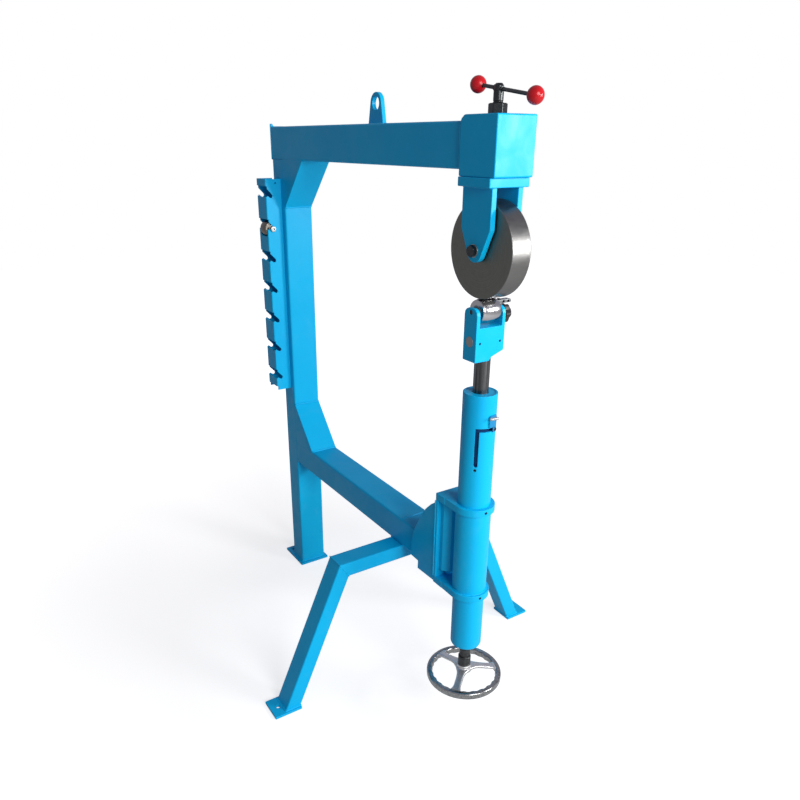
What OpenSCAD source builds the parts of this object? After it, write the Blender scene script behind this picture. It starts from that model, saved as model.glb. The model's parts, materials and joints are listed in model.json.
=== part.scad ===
// Floor standing english wheel for shaping sheet metal.
// Millimetres. The wheel plane is the YZ plane, the operator stands at -Y, Z points up.
// The ram axis is the working axis: every piece is drawn around it and then moved by y_mid.

/* [Frame] */
// distance from the working axis to the front of the rear post
throat_depth = 994; // [700:1:1200]
// width of the frame tubes along X
tube_w = 100; // [80:1:120]
// depth of the rear post along Y
post_d = 82; // [70:1:100]
// wall of the frame tubes
tube_wall = 5; // [3:0.5:8]
// height of the upper arm tube
upper_arm_h = 99; // [80:1:120]
// height of the lower arm tube
lower_arm_h = 88; // [70:1:110]
// underside of the lower arm above the floor
lower_arm_z = 460; // [400:1:520]
// leg of the corner gussets along the arm
gusset_run = 140; // [90:1:180]
// leg of the corner gussets along the post
gusset_rise = 148; // [100:1:190]
// thickness of the arm end cap
cap_t = 6; // [4:0.5:10]
// how far the end cap stands above and below the arm
cap_lip = 1.5; // [0.5:0.5:8]
// height of the lifting lug above the arm
lug_h = 77; // [60:1:95]
// bore of the lifting lug
lug_bore = 34; // [24:1:38]
// thickness of the lifting lug
lug_t = 12; // [8:1:16]
// distance from the working axis to the lug hole
lug_y = 488; // [300:1:700]

/* [Legs] */
// half of the distance over the front foot plates
foot_reach = 503; // [420:1:600]
// length of a front foot plate along X
foot_l = 88; // [70:1:100]
// width of a front foot plate along Y
foot_w = 80; // [72:1:100]
// thickness of the foot plates
foot_t = 8; // [5:1:12]
// distance from the working axis to the middle of the front legs
leg_y = 298; // [260:1:340]
// width of the leg tube along Y
leg_w = 65; // [50:1:70]
// thickness of the leg tube
leg_h = 46; // [35:1:55]
// distance from the middle to the bend of a leg
leg_bend = 267; // [220:1:310]
// bore of the floor bolt holes
floor_bore = 13; // [9:1:16]

/* [Head] */
// width of the head block along X
block_w = 110; // [100:1:130]
// depth of the head block along Y
block_d = 123; // [112:1:140]
// height of the head block
block_h = 125; // [115:1:140]
// height by which the head block stands above the arm
block_rise = 12; // [4:1:20]
// thickness of the fork plate
fork_plate_t = 20; // [14:1:24]
// clear width between the fork ears
fork_gap = 61; // [58:0.5:70]
// thickness of a fork ear
ear_t = 14; // [10:1:16]
// width of a fork ear along Y
ear_w = 102; // [88:1:106]
// diameter of the fork spigot
spigot_d = 50; // [40:1:60]
// diameter of the clamp screw thread
clamp_d = 24; // [20:1:27]
// length of the tee bar between its knobs
bar_l = 151; // [120:1:180]
// diameter of the tee bar
bar_d = 8; // [6:0.5:10]
// tilt of the tee bar against the floor
bar_tilt = 9; // [0:1:12]
// diameter of the ball knobs
ball_d = 36; // [30:1:42]
// how far the tee bar is pushed out of the middle
bar_shift = 22; // [0:1:40]

/* [Wheels] */
// diameter of the upper wheel
wheel_d = 220; // [200:1:230]
// width of the upper wheel
wheel_w = 54; // [48:1:56]
// diameter of the upper axle bolt
axle_d = 16; // [12:1:20]
// diameter of the anvil wheel at its crown
anvil_d = 60; // [54:1:64]
// width of the anvil wheel
anvil_w = 54; // [50:1:60]
// fall of the crown at the edges of the anvil wheel
anvil_crown = 3; // [1:0.5:6]
// diameter of the anvil axle
anvil_axle_d = 12; // [10:0.5:14]
// height of the anvil axle above the top of the column, ram fully up
anvil_z = 203; // [190:1:240]
// gap between the two wheels at rest
nip = 0.5; // [0.3:0.1:2]

/* [Yoke] */
// width of the yoke along X
yoke_w = 88; // [84:1:96]
// depth of the yoke along Y
yoke_d = 48; // [44:1:56]
// height of the yoke
yoke_h = 137; // [125:1:150]
// thickness of a yoke cheek
cheek_t = 10; // [8:0.5:12]
// diameter of the yoke cross pin
cross_pin_d = 26; // [16:1:28]
// diameter of the lock knob
knob_d = 54; // [40:1:58]

/* [Column] */
// outer diameter of the column tube
column_d = 88; // [82:1:94]
// wall of the column tube
column_wall = 6; // [5:0.5:8]
// length of the column tube
column_l = 771; // [740:1:800]
// underside of the column tube above the floor
column_z = 256; // [235:1:280]
// diameter of the ram
ram_d = 40; // [36:1:44]
// length of the ram
ram_l = 580; // [560:1:600]
// diameter of the adjusting screw thread
screw_d = 24; // [20:1:26]
// width of the slots in the column
slot_w = 10; // [9.5:0.5:13]
// depth of the level slot below the top of the column
slot_z = 90; // [86:1:106]

/* [Bracket] */
// width of the column collars
collar_w = 112; // [106:1:124]
// thickness of a collar
collar_t = 20; // [14:1:24]
// top of the upper collar above the floor
collar_top_z = 717; // [690:1:740]
// underside of the lower collar above the floor
collar_low_z = 430; // [405:1:445]
// thickness of the bracket side plates
plate_t = 6; // [4:0.5:9]
// thickness of the bracket back plate
back_t = 10; // [6:1:14]
// by how much the sleeve between the collars is wider than the column
sleeve_d = 7; // [6:0.5:12]
// distance from the working axis to the back plate
back_y = 85; // [75:1:90]

/* [Hand wheel] */
// diameter of the hand wheel
handwheel_d = 220; // [180:1:240]
// height of the rim
rim_h = 20; // [14:1:24]
// thickness of the rim
rim_t = 13; // [8:0.5:16]
// middle of the rim above the floor
rim_z = 144; // [120:1:150]

/* [Tool rack] */
// width of the rack front
rack_w = 56; // [50:1:66]
// depth of the rack side
rack_d = 72; // [60:1:80]
// sheet thickness of the rack
rack_t = 4; // [3:0.5:5]
// height of the rack
rack_h = 727; // [715:1:760]
// underside of the rack above the floor
rack_z = 755; // [720:1:780]
// distance between two rack slots
rack_pitch = 104.5; // [95:0.5:105]
// distance from the front of the rear post to the rack front
rack_y = 24; // [12:1:36]

/* [Hidden] */
$fn = 64;
fit = 0.05;
joint_gap = 0.3;
// heights from the top of the column upward
column_top = column_z + column_l;
axle_z = column_top + anvil_z;
wheel_z = axle_z + anvil_d/2 + nip + wheel_d/2;
fork_under = wheel_z + wheel_d/2 + 26;
fork_top = fork_under + fork_plate_t;
block_under = fork_top + joint_gap;
block_top = block_under + block_h;
arm_top = block_top - block_rise;
arm_under = arm_top - upper_arm_h;
lower_arm_top = lower_arm_z + lower_arm_h;
post_rear = throat_depth + post_d;
// head
block_rear = block_d/2 - 5;
block_wall = 12;
spigot_neck = 10;
spigot_top = block_under + 66;
spigot_ring_h = 10;
fork_w = fork_gap + 2*ear_t + 25;
fork_d = ear_w + 10;
ear_out = fork_gap/2 + ear_t;
ear_tip_r = axle_d/2 + 18;
ear_bend = 48;
bolt_head_h = 10;
washer_t = 3;
bolt_nut_h = 14;
nut_af = clamp_d*1.5;
nut_h = 21.5;
stem_top = block_top + nut_h + 38;
bar_z = stem_top - 10;
ball_seat = ball_d/2 - 1;
wheel_seat = 12;
// yoke and ram
yoke_top = axle_z + 18;
yoke_under = yoke_top - yoke_h;
slot_floor = axle_z - anvil_d/2 - 6;
cheek_in = yoke_w/2 - cheek_t;
ram_top = yoke_under + 70;
ram_under = ram_top - ram_l;
ram_bore = screw_d + 3;
ram_bore_l = 300;
nut_d = screw_d + 9;
lift_nut_h = 50;
lift_flange = 6;
cross_z = yoke_under + cross_pin_d/2 + 35;
grub_d = 6;
grub_x = 31;
anvil_seat = 8;
lock_d = 8;
lock_z = axle_z - anvil_axle_d/2 - lock_d/2 - 2;
knob_x = yoke_w/2 + 2;
knob_t = 24;
keeper_x = cheek_in + 5;
keeper_screw_d = 4;
// column
column_bore = column_d - 2*column_wall;
level_z = column_top - slot_z;
bush_h = 25;
bush_sink = 3;
ring_top = level_z - 97;
ring_h = 28;
key_z = ring_top - 12;
key_a = -134;
key_d = 8;
key_depth = 4;
slot_a0 = -133;
slot_low_z = ring_top + slot_w/2 - 4;
rel_top = level_z + 50;
pin_a = -70;
pin_d = slot_w - 1;
pin_r = column_bore/2 - 12;
lever_r = column_d/2 + 0.4;
lever_t = 3;
lever_top = level_z + 40;
plug_h = 34;
journal_d = screw_d + 6;
bearing_h = 11;
bearing_d = journal_d + 17;
screw_collar_z = column_z + plug_h + bearing_h;
screw_collar_h = 12;
screw_engage = 220;
screw_top = ram_under + screw_engage;
hub_gap = 50;
hub_top = column_z - hub_gap;
hub_d = journal_d + 7;
hub_rise = 33;
hub_z = rim_z + hub_rise;
hub_bore = 16;
// bracket
lower_arm_front = back_y + back_t;
saddle_w = 76;
sleeve_out = column_d + sleeve_d;
side_reach = 113;
set_a = -94;
set_d = 8;
// legs
leg_rise = lower_arm_z - foot_t;
leg_a = atan((foot_reach - 37 - leg_bend)/leg_rise);
leg_wall = 4;
rear_foot_l = post_d + 65;
rear_foot_w = tube_w + 20;
rear_foot_y = throat_depth - 12;
// hand wheel
rim_in = handwheel_d/2 - rim_t;
spoke_a = -142;
spoke_t = 9;
spoke_root = 30;
// tool rack
first_slot = 47;
last_slot = 50;
n_slots = floor((rack_h - first_slot - last_slot)/rack_pitch) + 1;
rack_front = throat_depth + rack_y;
rack_side = tube_w/2 + rack_w;
rack_axle_x = rack_side - 18;
spare_slot = min(5, n_slots - 1);
spare_l = min(50, rack_d - rack_t - 18);
spare_head = 18;
spare_z = rack_z + first_slot + spare_slot*rack_pitch;
// the piece is centred along Y between its front and rear ends
bar_reach = (bar_shift + bar_l/2 + ball_seat)*cos(bar_tilt) + ball_d/2;
front_end = max(bar_reach, wheel_d/2, handwheel_d/2);
y_mid = (front_end - rear_foot_y - rear_foot_l)/2;

rear_post();
upper_arm();
lower_arm();
upper_gusset();
lower_gusset();
arm_end_cap();
lifting_lug();
rear_foot_plate();
cross_beam();
left_leg();
right_leg();
front_foot_plates();
head_block();
head_nut();
back_plate();
side_plates();
saddle_block();
upper_collar();
lower_collar();
clamp_sleeve();
collar_set_screws();
column_tube();
top_guide_bush();
support_ring();
key_screw();
bottom_plug();
thrust_bearing();
tool_rack();
spare_anvil();
spare_axle();
fork_plate();
fork_ears();
fork_spigot();
spigot_ring();
axle_bolt();
axle_nut();
axle_spacers();
upper_wheel();
wheel_bearings();
clamp_screw();
tee_bar();
ball_knobs();
ram();
lift_nut();
yoke();
yoke_cross_pin();
yoke_screws();
axle_keeper();
anvil_wheel();
anvil_bearings();
anvil_spacers();
anvil_axle();
lock_knob();
lock_screw();
adjusting_screw();
hand_wheel();
hand_wheel_nut();
release_sleeve();
release_pin();
release_lever();

// helpers

module place() {
  translate([0, y_mid, 0]) children();
}

module along_x(x0, x1, y, z, d) {
  translate([x0, y, z]) rotate([0, 90, 0]) cylinder(d = d, h = x1 - x0);
}

module hex_x(x0, x1, y, z, af) {
  translate([x0, y, z]) rotate([0, 90, 0]) cylinder(d = af/cos(30), h = x1 - x0, $fn = 6);
}

module washer_x(x0, x1, z, d_out, d_in) {
  difference() {
    along_x(x0, x1, 0, z, d_out);
    along_x(x0 - 1, x1 + 1, 0, z, d_in);
  }
}

module ring(z0, h, d_out, d_in) {
  translate([0, 0, z0]) difference() {
    cylinder(d = d_out, h = h);
    translate([0, 0, -1]) cylinder(d = d_in, h = h + 2);
  }
}

module radial(a, z, r0, r1, d) {
  rotate([0, 0, a]) translate([r0, 0, z]) rotate([0, 90, 0]) cylinder(d = d, h = r1 - r0, $fn = 32);
}

module hex_radial(a, z, r0, r1, af) {
  rotate([0, 0, a]) translate([r0, 0, z]) rotate([0, 90, 0])
    cylinder(d = af/cos(30), h = r1 - r0, $fn = 6);
}

// a sector of a ring between two angles, from z0 upward
module arc_block(a0, a1, r0, r1, z0, h) {
  rotate([0, 0, a0]) translate([0, 0, z0]) rotate_extrude(angle = a1 - a0)
    translate([r0, 0]) square([r1 - r0, h]);
}

// points of a quarter round corner
function corner(x, y, r, a) = [for (i = [0:3]) [x + r*cos(a + 30*i), y + r*sin(a + 30*i)]];

function tube_pts(w, h, r) = concat(corner(w/2 - r, h/2 - r, r, 0),
  corner(r - w/2, h/2 - r, r, 90), corner(r - w/2, r - h/2, r, 180),
  corner(w/2 - r, r - h/2, r, 270));

module tube_2d(w, h, wall) {
  difference() {
    polygon(tube_pts(w, h, 7));
    polygon(tube_pts(w - 2*wall, h - 2*wall, 2));
  }
}

// tube along Y from y0 to y1, its underside at z
module tube_y(y0, y1, z, h) {
  translate([0, y1, z + h/2]) rotate([90, 0, 0])
    linear_extrude(y1 - y0) tube_2d(tube_w, h, tube_wall);
}

// outline in Y and Z, extruded along X between two values
module plate_yz(x0, x1, pts) {
  translate([x0, 0, 0]) rotate([90, 0, 90]) linear_extrude(x1 - x0) polygon(pts);
}

// the tilted axis of the tee bar, pointing to the operator
module bar_axis() {
  translate([0, 0, bar_z]) rotate([90 + bar_tilt, 0, 0]) children();
}

// frame

module rear_post() {
  color("deepskyblue") place() translate([0, throat_depth + post_d/2, foot_t])
    linear_extrude(arm_under - foot_t) tube_2d(tube_w, post_d, tube_wall);
}

module upper_arm() {
  color("deepskyblue") place() tube_y(block_rear, post_rear, arm_under, upper_arm_h);
}

module lower_arm() {
  color("deepskyblue") place() tube_y(lower_arm_front, throat_depth, lower_arm_z, lower_arm_h);
}

// folded corner cover, open towards both tubes; s is 1 above the arm and -1 below it
module gusset(z, run, rise, s) {
  k = 1 - tube_wall*sqrt(run*run + rise*rise)/(run*rise);
  y = throat_depth;
  difference() {
    plate_yz(-tube_w/2, tube_w/2, [[y, z], [y - run, z], [y, z + s*rise]]);
    plate_yz(tube_wall - tube_w/2, tube_w/2 - tube_wall, [[y + 1, z - s], [y - k*run, z - s],
      [y - k*run, z], [y, z + s*k*rise], [y + 1, z + s*k*rise]]);
  }
}

module upper_gusset() {
  color("deepskyblue") place() gusset(arm_under, gusset_run, gusset_rise, -1);
}

module lower_gusset() {
  color("deepskyblue") place() gusset(lower_arm_top, gusset_run - 12, gusset_rise - 2, 1);
}

module arm_end_cap() {
  color("deepskyblue") place() translate([-tube_w/2, post_rear, arm_under - cap_lip])
    cube([tube_w, cap_t, upper_arm_h + 2*cap_lip]);
}

module lifting_lug() {
  r = lug_bore/2 + 10;
  z = arm_top + lug_h - r;
  color("deepskyblue") place() difference() {
    union() {
      plate_yz(-lug_t/2, lug_t/2, [[lug_y - r - 10, arm_top], [lug_y + r + 10, arm_top],
        [lug_y + r*0.97, z + r*0.19], [lug_y - r*0.97, z + r*0.19]]);
      along_x(-lug_t/2, lug_t/2, lug_y, z, 2*r);
    }
    along_x(-lug_t, lug_t, lug_y, z, lug_bore);
  }
}

module rear_foot_plate() {
  color("deepskyblue") place() difference() {
    translate([-rear_foot_w/2, rear_foot_y, 0]) cube([rear_foot_w, rear_foot_l, foot_t]);
    for (s = [-1, 1]) translate([s*(rear_foot_w/2 - 22), rear_foot_y + rear_foot_l - 24, -1])
      cylinder(d = floor_bore, h = foot_t + 2);
  }
}

// legs

module cross_beam() {
  color("deepskyblue") place() translate([0, leg_y, lower_arm_z]) difference() {
    translate([-leg_bend, -leg_w/2, -leg_h]) cube([2*leg_bend, leg_w, leg_h]);
    translate([-leg_bend - 1, leg_wall - leg_w/2, leg_wall - leg_h])
      cube([2*leg_bend + 2, leg_w - 2*leg_wall, leg_h - 2*leg_wall]);
    for (m = [0, 1]) mirror([m, 0, 0]) translate([leg_bend, -leg_w/2 - 1, 0])
      rotate([0, 135 - leg_a/2, 0]) translate([-leg_h*2, 0, 0])
        cube([leg_h*4, leg_w + 2, leg_h*2]);
  }
}

module leg() {
  place() translate([leg_bend, leg_y, lower_arm_z]) difference() {
    rotate([0, 90 - leg_a, 0]) translate([-leg_h, -leg_w/2, -leg_h]) difference() {
      cube([leg_rise/cos(leg_a) + leg_h*2, leg_w, leg_h]);
      translate([-1, leg_wall, leg_wall])
        cube([leg_rise/cos(leg_a) + leg_h*2 + 2, leg_w - 2*leg_wall, leg_h - 2*leg_wall]);
    }
    translate([-leg_h*2, -leg_w, -2*leg_rise]) cube([2*foot_reach, 2*leg_w, leg_rise]);
    translate([0, -leg_w/2 - 1, 0]) rotate([0, 135 - leg_a/2, 0])
      translate([-leg_h*3, 0, -leg_h*3]) cube([leg_h*6, leg_w + 2, leg_h*3]);
  }
}

module right_leg() {
  color("deepskyblue") leg();
}

module left_leg() {
  color("deepskyblue") mirror([1, 0, 0]) leg();
}

module front_foot_plates() {
  color("deepskyblue") place() for (m = [0, 1]) mirror([m, 0, 0]) difference() {
    translate([foot_reach - foot_l, leg_y - foot_w/2, 0]) cube([foot_l, foot_w, foot_t]);
    translate([foot_reach - 25, leg_y, -1]) cylinder(d = floor_bore, h = foot_t + 2);
  }
}

// head

module head_block() {
  w = block_wall;
  color("deepskyblue") place() translate([0, block_rear - block_d, block_under]) difference() {
    translate([-block_w/2, 0, 0]) cube([block_w, block_d, block_h]);
    translate([w - block_w/2, w, w]) cube([block_w - 2*w, block_d - 2*w, block_h - 2*w]);
    translate([0, block_d - block_rear, -1]) cylinder(d = spigot_d + 2*fit, h = w + 2);
    translate([0, block_d - block_rear, block_h - w - 1]) cylinder(d = clamp_d + 1, h = w + 2);
  }
}

module head_nut() {
  color("dimgray") place() translate([0, 0, block_top]) difference() {
    rotate([0, 0, 20]) cylinder(d = nut_af/cos(30), h = nut_h, $fn = 6);
    translate([0, 0, -1]) cylinder(d = clamp_d + 2*fit, h = nut_h + 2);
  }
}

// bracket that carries the column

module back_plate() {
  color("deepskyblue") place() translate([-collar_w/2, back_y, collar_low_z + collar_t])
    cube([collar_w, back_t, collar_top_z - collar_low_z - 2*collar_t]);
}

module side_plates() {
  y = lower_arm_front;
  z = collar_low_z;
  t = lower_arm_top;
  h = collar_top_z - collar_t - t;
  u = side_reach/113;
  color("deepskyblue") place() for (m = [0, 1]) mirror([m, 0, 0])
    plate_yz(tube_w/2, tube_w/2 + plate_t, [[y, z + 4*u], [y + 78*u, z + 2*u],
      [y + 77*u, lower_arm_z - 2*u], [y + 113*u, lower_arm_z], [y + 113*u, t - 42*u],
      [y + 102*u, t], [y + 82*u, t + h*0.28], [y + 68*u, t + h*0.43], [y + 48*u, t + h*0.65],
      [y + 22*u, t + h*0.83], [y + 2*u, t + h*0.93], [y, t + h*0.96]]);
}

module saddle_block() {
  z = collar_low_z + collar_t;
  color("deepskyblue") place() difference() {
    translate([-saddle_w/2, sleeve_out/2 - 5, z + 26])
      cube([saddle_w, back_y - sleeve_out/2 + 5, collar_top_z - collar_t - z - 26]);
    translate([0, 0, z]) cylinder(d = sleeve_out, h = collar_top_z - z);
  }
}

module collar(z) {
  difference() {
    union() {
      translate([0, 0, z]) cylinder(d = collar_w, h = collar_t);
      translate([-collar_w/2, 0, z]) cube([collar_w, lower_arm_front, collar_t]);
    }
    translate([0, 0, z - 1]) cylinder(d = column_d + 2*fit, h = collar_t + 2);
    radial(set_a, z + collar_t/2, column_d/2 - 2, collar_w, set_d);
  }
}

module upper_collar() {
  color("deepskyblue") place() collar(collar_top_z - collar_t);
}

module lower_collar() {
  color("deepskyblue") place() collar(collar_low_z);
}

module clamp_sleeve() {
  color("deepskyblue") place() ring(collar_low_z + collar_t,
    collar_top_z - collar_low_z - 2*collar_t, sleeve_out, column_d + 2*fit);
}

module collar_set_screws() {
  color("dimgray") place() for (z = [collar_low_z + collar_t/2, collar_top_z - collar_t/2])
    difference() {
      radial(set_a, z, column_d/2 + fit, collar_w/2 - 1.5, set_d);
      hex_radial(set_a, z, collar_w/2 - 5, collar_w/2, set_d/2);
    }
}

// column

module column_tube() {
  color("deepskyblue") place() difference() {
    translate([0, 0, column_z]) rotate_extrude($fn = 96)
      polygon([[column_bore/2, 0], [column_bore/2 + 1, 0], [column_d/2 - 2, 2], [column_d/2, 7],
        [column_d/2, column_l], [column_bore/2, column_l]]);
    rotate([0, 0, slot_a0]) translate([column_d/2 - 12, -slot_w/2, slot_low_z])
      cube([24, slot_w, level_z + slot_w/2 - slot_low_z]);
    radial(slot_a0, slot_low_z, column_d/2 - 12, column_d/2 + 12, slot_w);
    arc_block(slot_a0, pin_a + 10, column_bore/2 - 2, column_d/2 + 4, level_z - slot_w/2, slot_w);
    radial(key_a, key_z, column_bore/2 - 4, column_d/2 + 4, key_d);
  }
}

module top_guide_bush() {
  color("deepskyblue") place() ring(column_top - bush_sink - bush_h, bush_h,
    column_bore, ram_d + 2*fit);
}

module support_ring() {
  color("silver") place() difference() {
    ring(ring_top - ring_h, ring_h, column_bore, ram_d + 2*fit);
    radial(key_a, key_z, ram_d/2 - 3, column_bore/2 + 4, key_d);
  }
}

module key_screw() {
  color("dimgray") place() difference() {
    union() {
      radial(key_a, key_z, ram_d/2 + 0.5, column_d/2 - 1, key_d);
      radial(key_a, key_z, ram_d/2 - key_depth + 1, ram_d/2 + 1, key_d - 1);
    }
    hex_radial(key_a, key_z, column_d/2 - 5, column_d/2, key_d/2);
  }
}

module bottom_plug() {
  color("silver") place() ring(column_z + 0.5, plug_h - 0.5, column_bore, journal_d + 2*fit);
}

module thrust_bearing() {
  r = bearing_h/3;
  z = column_z + plug_h;
  color("silver") place() {
    ring(z, r, bearing_d, journal_d + 2*fit);
    ring(z + r + 0.1, r - 0.2, bearing_d - 3, journal_d + 3);
    ring(z + 2*r, r - joint_gap, bearing_d, journal_d + 2*fit);
  }
}

// tool rack

module tool_rack() {
  x0 = -rack_side;
  ax = -rack_axle_x;
  yr = rack_front + rack_d;
  color("deepskyblue") place() difference() {
    union() {
      translate([x0, rack_front, rack_z]) cube([rack_w, rack_t, rack_h]);
      translate([x0, rack_front, rack_z]) cube([rack_t, rack_d, rack_h]);
      translate([x0, yr - rack_t, rack_z]) cube([rack_w, rack_t, rack_h]);
    }
    for (i = [0:n_slots - 1]) translate([0, 0, rack_z + first_slot + i*rack_pitch]) {
      for (y = [rack_front + rack_t, yr]) translate([0, y + 1, 0]) rotate([90, 0, 0])
        linear_extrude(rack_t + 2)
          polygon([[x0 - 1, 31], [x0 + 4, 24], [ax + 4.8, 4.8], [ax + 6.6, 0], [ax + 4.7, -4.7],
            [ax, -6.6], [ax - 4.7, -4.7], [x0 + 5, 2], [x0 - 1, 3]]);
      plate_yz(x0 - 1, x0 + rack_t + 1, [[rack_front + rack_t, 3], [rack_front + 16, -4], [yr - 16, -4],
        [yr - rack_t, 3], [yr - rack_t, 31], [rack_front + rack_t, 31]]);
    }
    plate_yz(x0 - 1, x0 + rack_t + 1, [[rack_front + rack_t, spare_z], [rack_front + rack_t + 1, spare_z - 24],
      [rack_front + rack_t + spare_l - 2, spare_z - 24], [rack_front + rack_t + spare_l + 3, spare_z - 18],
      [rack_front + rack_t + spare_l + 3, spare_z]]);
    translate([x0 + 36, rack_front - 1, rack_z + rack_h - 13]) rotate([-90, 0, 0])
      cylinder(d = 6, h = rack_t + 2);
  }
}

module spare_anvil() {
  l = spare_l - 6;
  d = anvil_d - 8;
  color("gray") place() translate([-rack_axle_x, rack_front + rack_t + 3, spare_z])
    rotate([-90, 0, 0]) difference() {
      union() {
        cylinder(d1 = d - 6, d2 = d, h = l*0.3);
        translate([0, 0, l*0.3]) cylinder(d = d, h = l*0.4);
        translate([0, 0, l*0.7]) cylinder(d1 = d, d2 = d - 6, h = l*0.3);
      }
      translate([0, 0, -1]) cylinder(d = anvil_axle_d + 2*fit, h = l + 2);
    }
}

module spare_axle() {
  y = rack_t + 3;
  l = spare_l - 6;
  color("silver") place() translate([-rack_axle_x, rack_front, spare_z]) rotate([-90, 0, 0]) {
    difference() {
      union() {
        translate([0, 0, -8]) cylinder(d = spare_head, h = 8);
        translate([0, 0, -1]) cylinder(d = anvil_axle_d, h = rack_d + 4);
      }
      translate([0, 0, -9]) cylinder(d = 8/cos(30), h = 5, $fn = 6);
    }
    difference() {
      translate([0, 0, rack_t]) cylinder(d = spare_head + 4, h = 3);
      translate([0, 0, rack_t - 1]) cylinder(d = anvil_axle_d + 2*fit, h = 5);
    }
    difference() {
      translate([0, 0, y + l]) cylinder(d = anvil_axle_d*1.5/cos(30), h = 9, $fn = 6);
      translate([0, 0, y + l - 1]) cylinder(d = anvil_axle_d + 2*fit, h = 11);
    }
  }
}

// fork that carries the upper wheel

module fork_plate() {
  color("deepskyblue") place() difference() {
    translate([-fork_w/2, -fork_d/2, fork_under]) cube([fork_w, fork_d, fork_plate_t]);
    translate([0, 0, fork_under - 1]) cylinder(d = spigot_d - spigot_neck, h = fork_plate_t + 2);
  }
}

module fork_ears() {
  a = atan2(ear_bend, ear_w/2) - acos(ear_tip_r/sqrt(ear_bend*ear_bend + ear_w*ear_w/4));
  ty = ear_tip_r*0.98*cos(a);
  tz = ear_tip_r*0.98*sin(a);
  h = fork_under - wheel_z;
  color("deepskyblue") place() translate([0, 0, wheel_z]) for (m = [0, 1]) mirror([m, 0, 0])
    difference() {
      union() {
        plate_yz(fork_gap/2, ear_out, [[-ear_w/2, h], [-ear_w/2, ear_bend], [-ty, tz],
          [ty, tz], [ear_w/2, ear_bend], [ear_w/2, h]]);
        along_x(fork_gap/2, ear_out, 0, 0, 2*ear_tip_r);
      }
      along_x(fork_gap/2 - 1, ear_out + 1, 0, 0, axle_d + 2*fit);
    }
}

module fork_spigot() {
  color("silver") place() difference() {
    union() {
      translate([0, 0, fork_under]) cylinder(d = spigot_d - spigot_neck, h = fork_plate_t);
      translate([0, 0, fork_top]) cylinder(d = spigot_d, h = spigot_top - fork_top);
    }
    translate([0, 0, spigot_top - 8]) cylinder(d = clamp_d + 2*fit, h = 9);
  }
}

module spigot_ring() {
  color("dimgray") place() ring(block_under + block_wall + fit, spigot_ring_h,
    spigot_d + 22, spigot_d);
}

module axle_bolt() {
  x = ear_out + washer_t;
  color("black") place() {
    hex_x(-x - bolt_head_h, -x, 0, wheel_z, axle_d*1.5);
    along_x(-x - 1, x + bolt_nut_h + 4, 0, wheel_z, axle_d);
  }
}

module axle_nut() {
  x = ear_out + washer_t;
  color("black") place() difference() {
    hex_x(x, x + bolt_nut_h, 0, wheel_z, axle_d*1.5);
    along_x(x - 1, x + bolt_nut_h + 1, 0, wheel_z, axle_d);
  }
}

// washers outside the ears, spacers inside them and one between the bearings
module axle_spacers() {
  h = wheel_w/2;
  color("silver") place() {
    washer_x(-ear_out - washer_t, -ear_out, wheel_z, axle_d*1.85, axle_d + 2*fit);
    washer_x(ear_out, ear_out + washer_t, wheel_z, axle_d*1.85, axle_d + 2*fit);
    washer_x(-fork_gap/2, -h - joint_gap, wheel_z, axle_d + 8, axle_d + 2*fit);
    washer_x(h + joint_gap, fork_gap/2, wheel_z, axle_d + 8, axle_d + 2*fit);
    washer_x(wheel_seat + joint_gap - h, h - wheel_seat - joint_gap, wheel_z, axle_d + 6,
      axle_d + 2*fit);
  }
}

module upper_wheel() {
  h = wheel_w/2;
  r = wheel_d/2;
  b = axle_d/2;
  s = h - wheel_seat;
  color("gray") place() translate([0, 0, wheel_z]) rotate([0, 90, 0]) rotate_extrude($fn = 128)
    polygon([[b + 6, -s], [b + 12, -s], [b + 12, -h], [r - 2, -h], [r, 2 - h], [r, h - 2],
      [r - 2, h], [b + 12, h], [b + 12, s], [b + 6, s]]);
}

module wheel_bearings() {
  h = wheel_w/2;
  color("silver") place() {
    washer_x(-h, wheel_seat - h, wheel_z, axle_d + 24, axle_d + 2*fit);
    washer_x(h - wheel_seat, h, wheel_z, axle_d + 24, axle_d + 2*fit);
  }
}

module clamp_screw() {
  z0 = spigot_top - 8 + joint_gap;
  z1 = block_top + nut_h;
  color("dimgray") place() difference() {
    union() {
      translate([0, 0, z0]) cylinder(d = clamp_d, h = z1 + 2 - z0);
      translate([0, 0, z1]) cylinder(d = clamp_d - 2, h = stem_top - 3 - z1);
      translate([0, 0, stem_top - 3]) cylinder(d1 = clamp_d - 2, d2 = clamp_d - 8, h = 3);
      bar_axis() translate([0, 0, -clamp_d/2 - 2]) cylinder(d = bar_d + 5, h = clamp_d + 4);
    }
    bar_axis() translate([0, 0, -clamp_d]) cylinder(d = bar_d + 2*fit, h = 2*clamp_d);
  }
}

module tee_bar() {
  color("dimgray") place() bar_axis() translate([0, 0, bar_shift - bar_l/2 - 10])
    cylinder(d = bar_d, h = bar_l + 20);
}

module ball_knobs() {
  color("red") place() bar_axis() translate([0, 0, bar_shift]) for (s = [-1, 1]) difference() {
    translate([0, 0, s*(bar_l/2 + ball_seat)]) sphere(d = ball_d);
    translate([0, 0, -bar_l/2 - 10]) cylinder(d = bar_d, h = bar_l + 20);
  }
}

// ram and yoke

module ram() {
  color("dimgray") place() difference() {
    translate([0, 0, ram_under]) cylinder(d = ram_d, h = ram_l);
    translate([0, 0, ram_under - 1]) cylinder(d = nut_d, h = lift_nut_h - lift_flange + 1);
    translate([0, 0, ram_under]) cylinder(d = ram_bore, h = ram_bore_l);
    along_x(-ram_d, ram_d, 0, cross_z, cross_pin_d);
    rotate([0, 0, key_a]) translate([ram_d/2 - key_depth, -key_d/2 - fit, key_z - 40])
      cube([10, key_d + 2*fit, 120]);
  }
}

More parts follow.
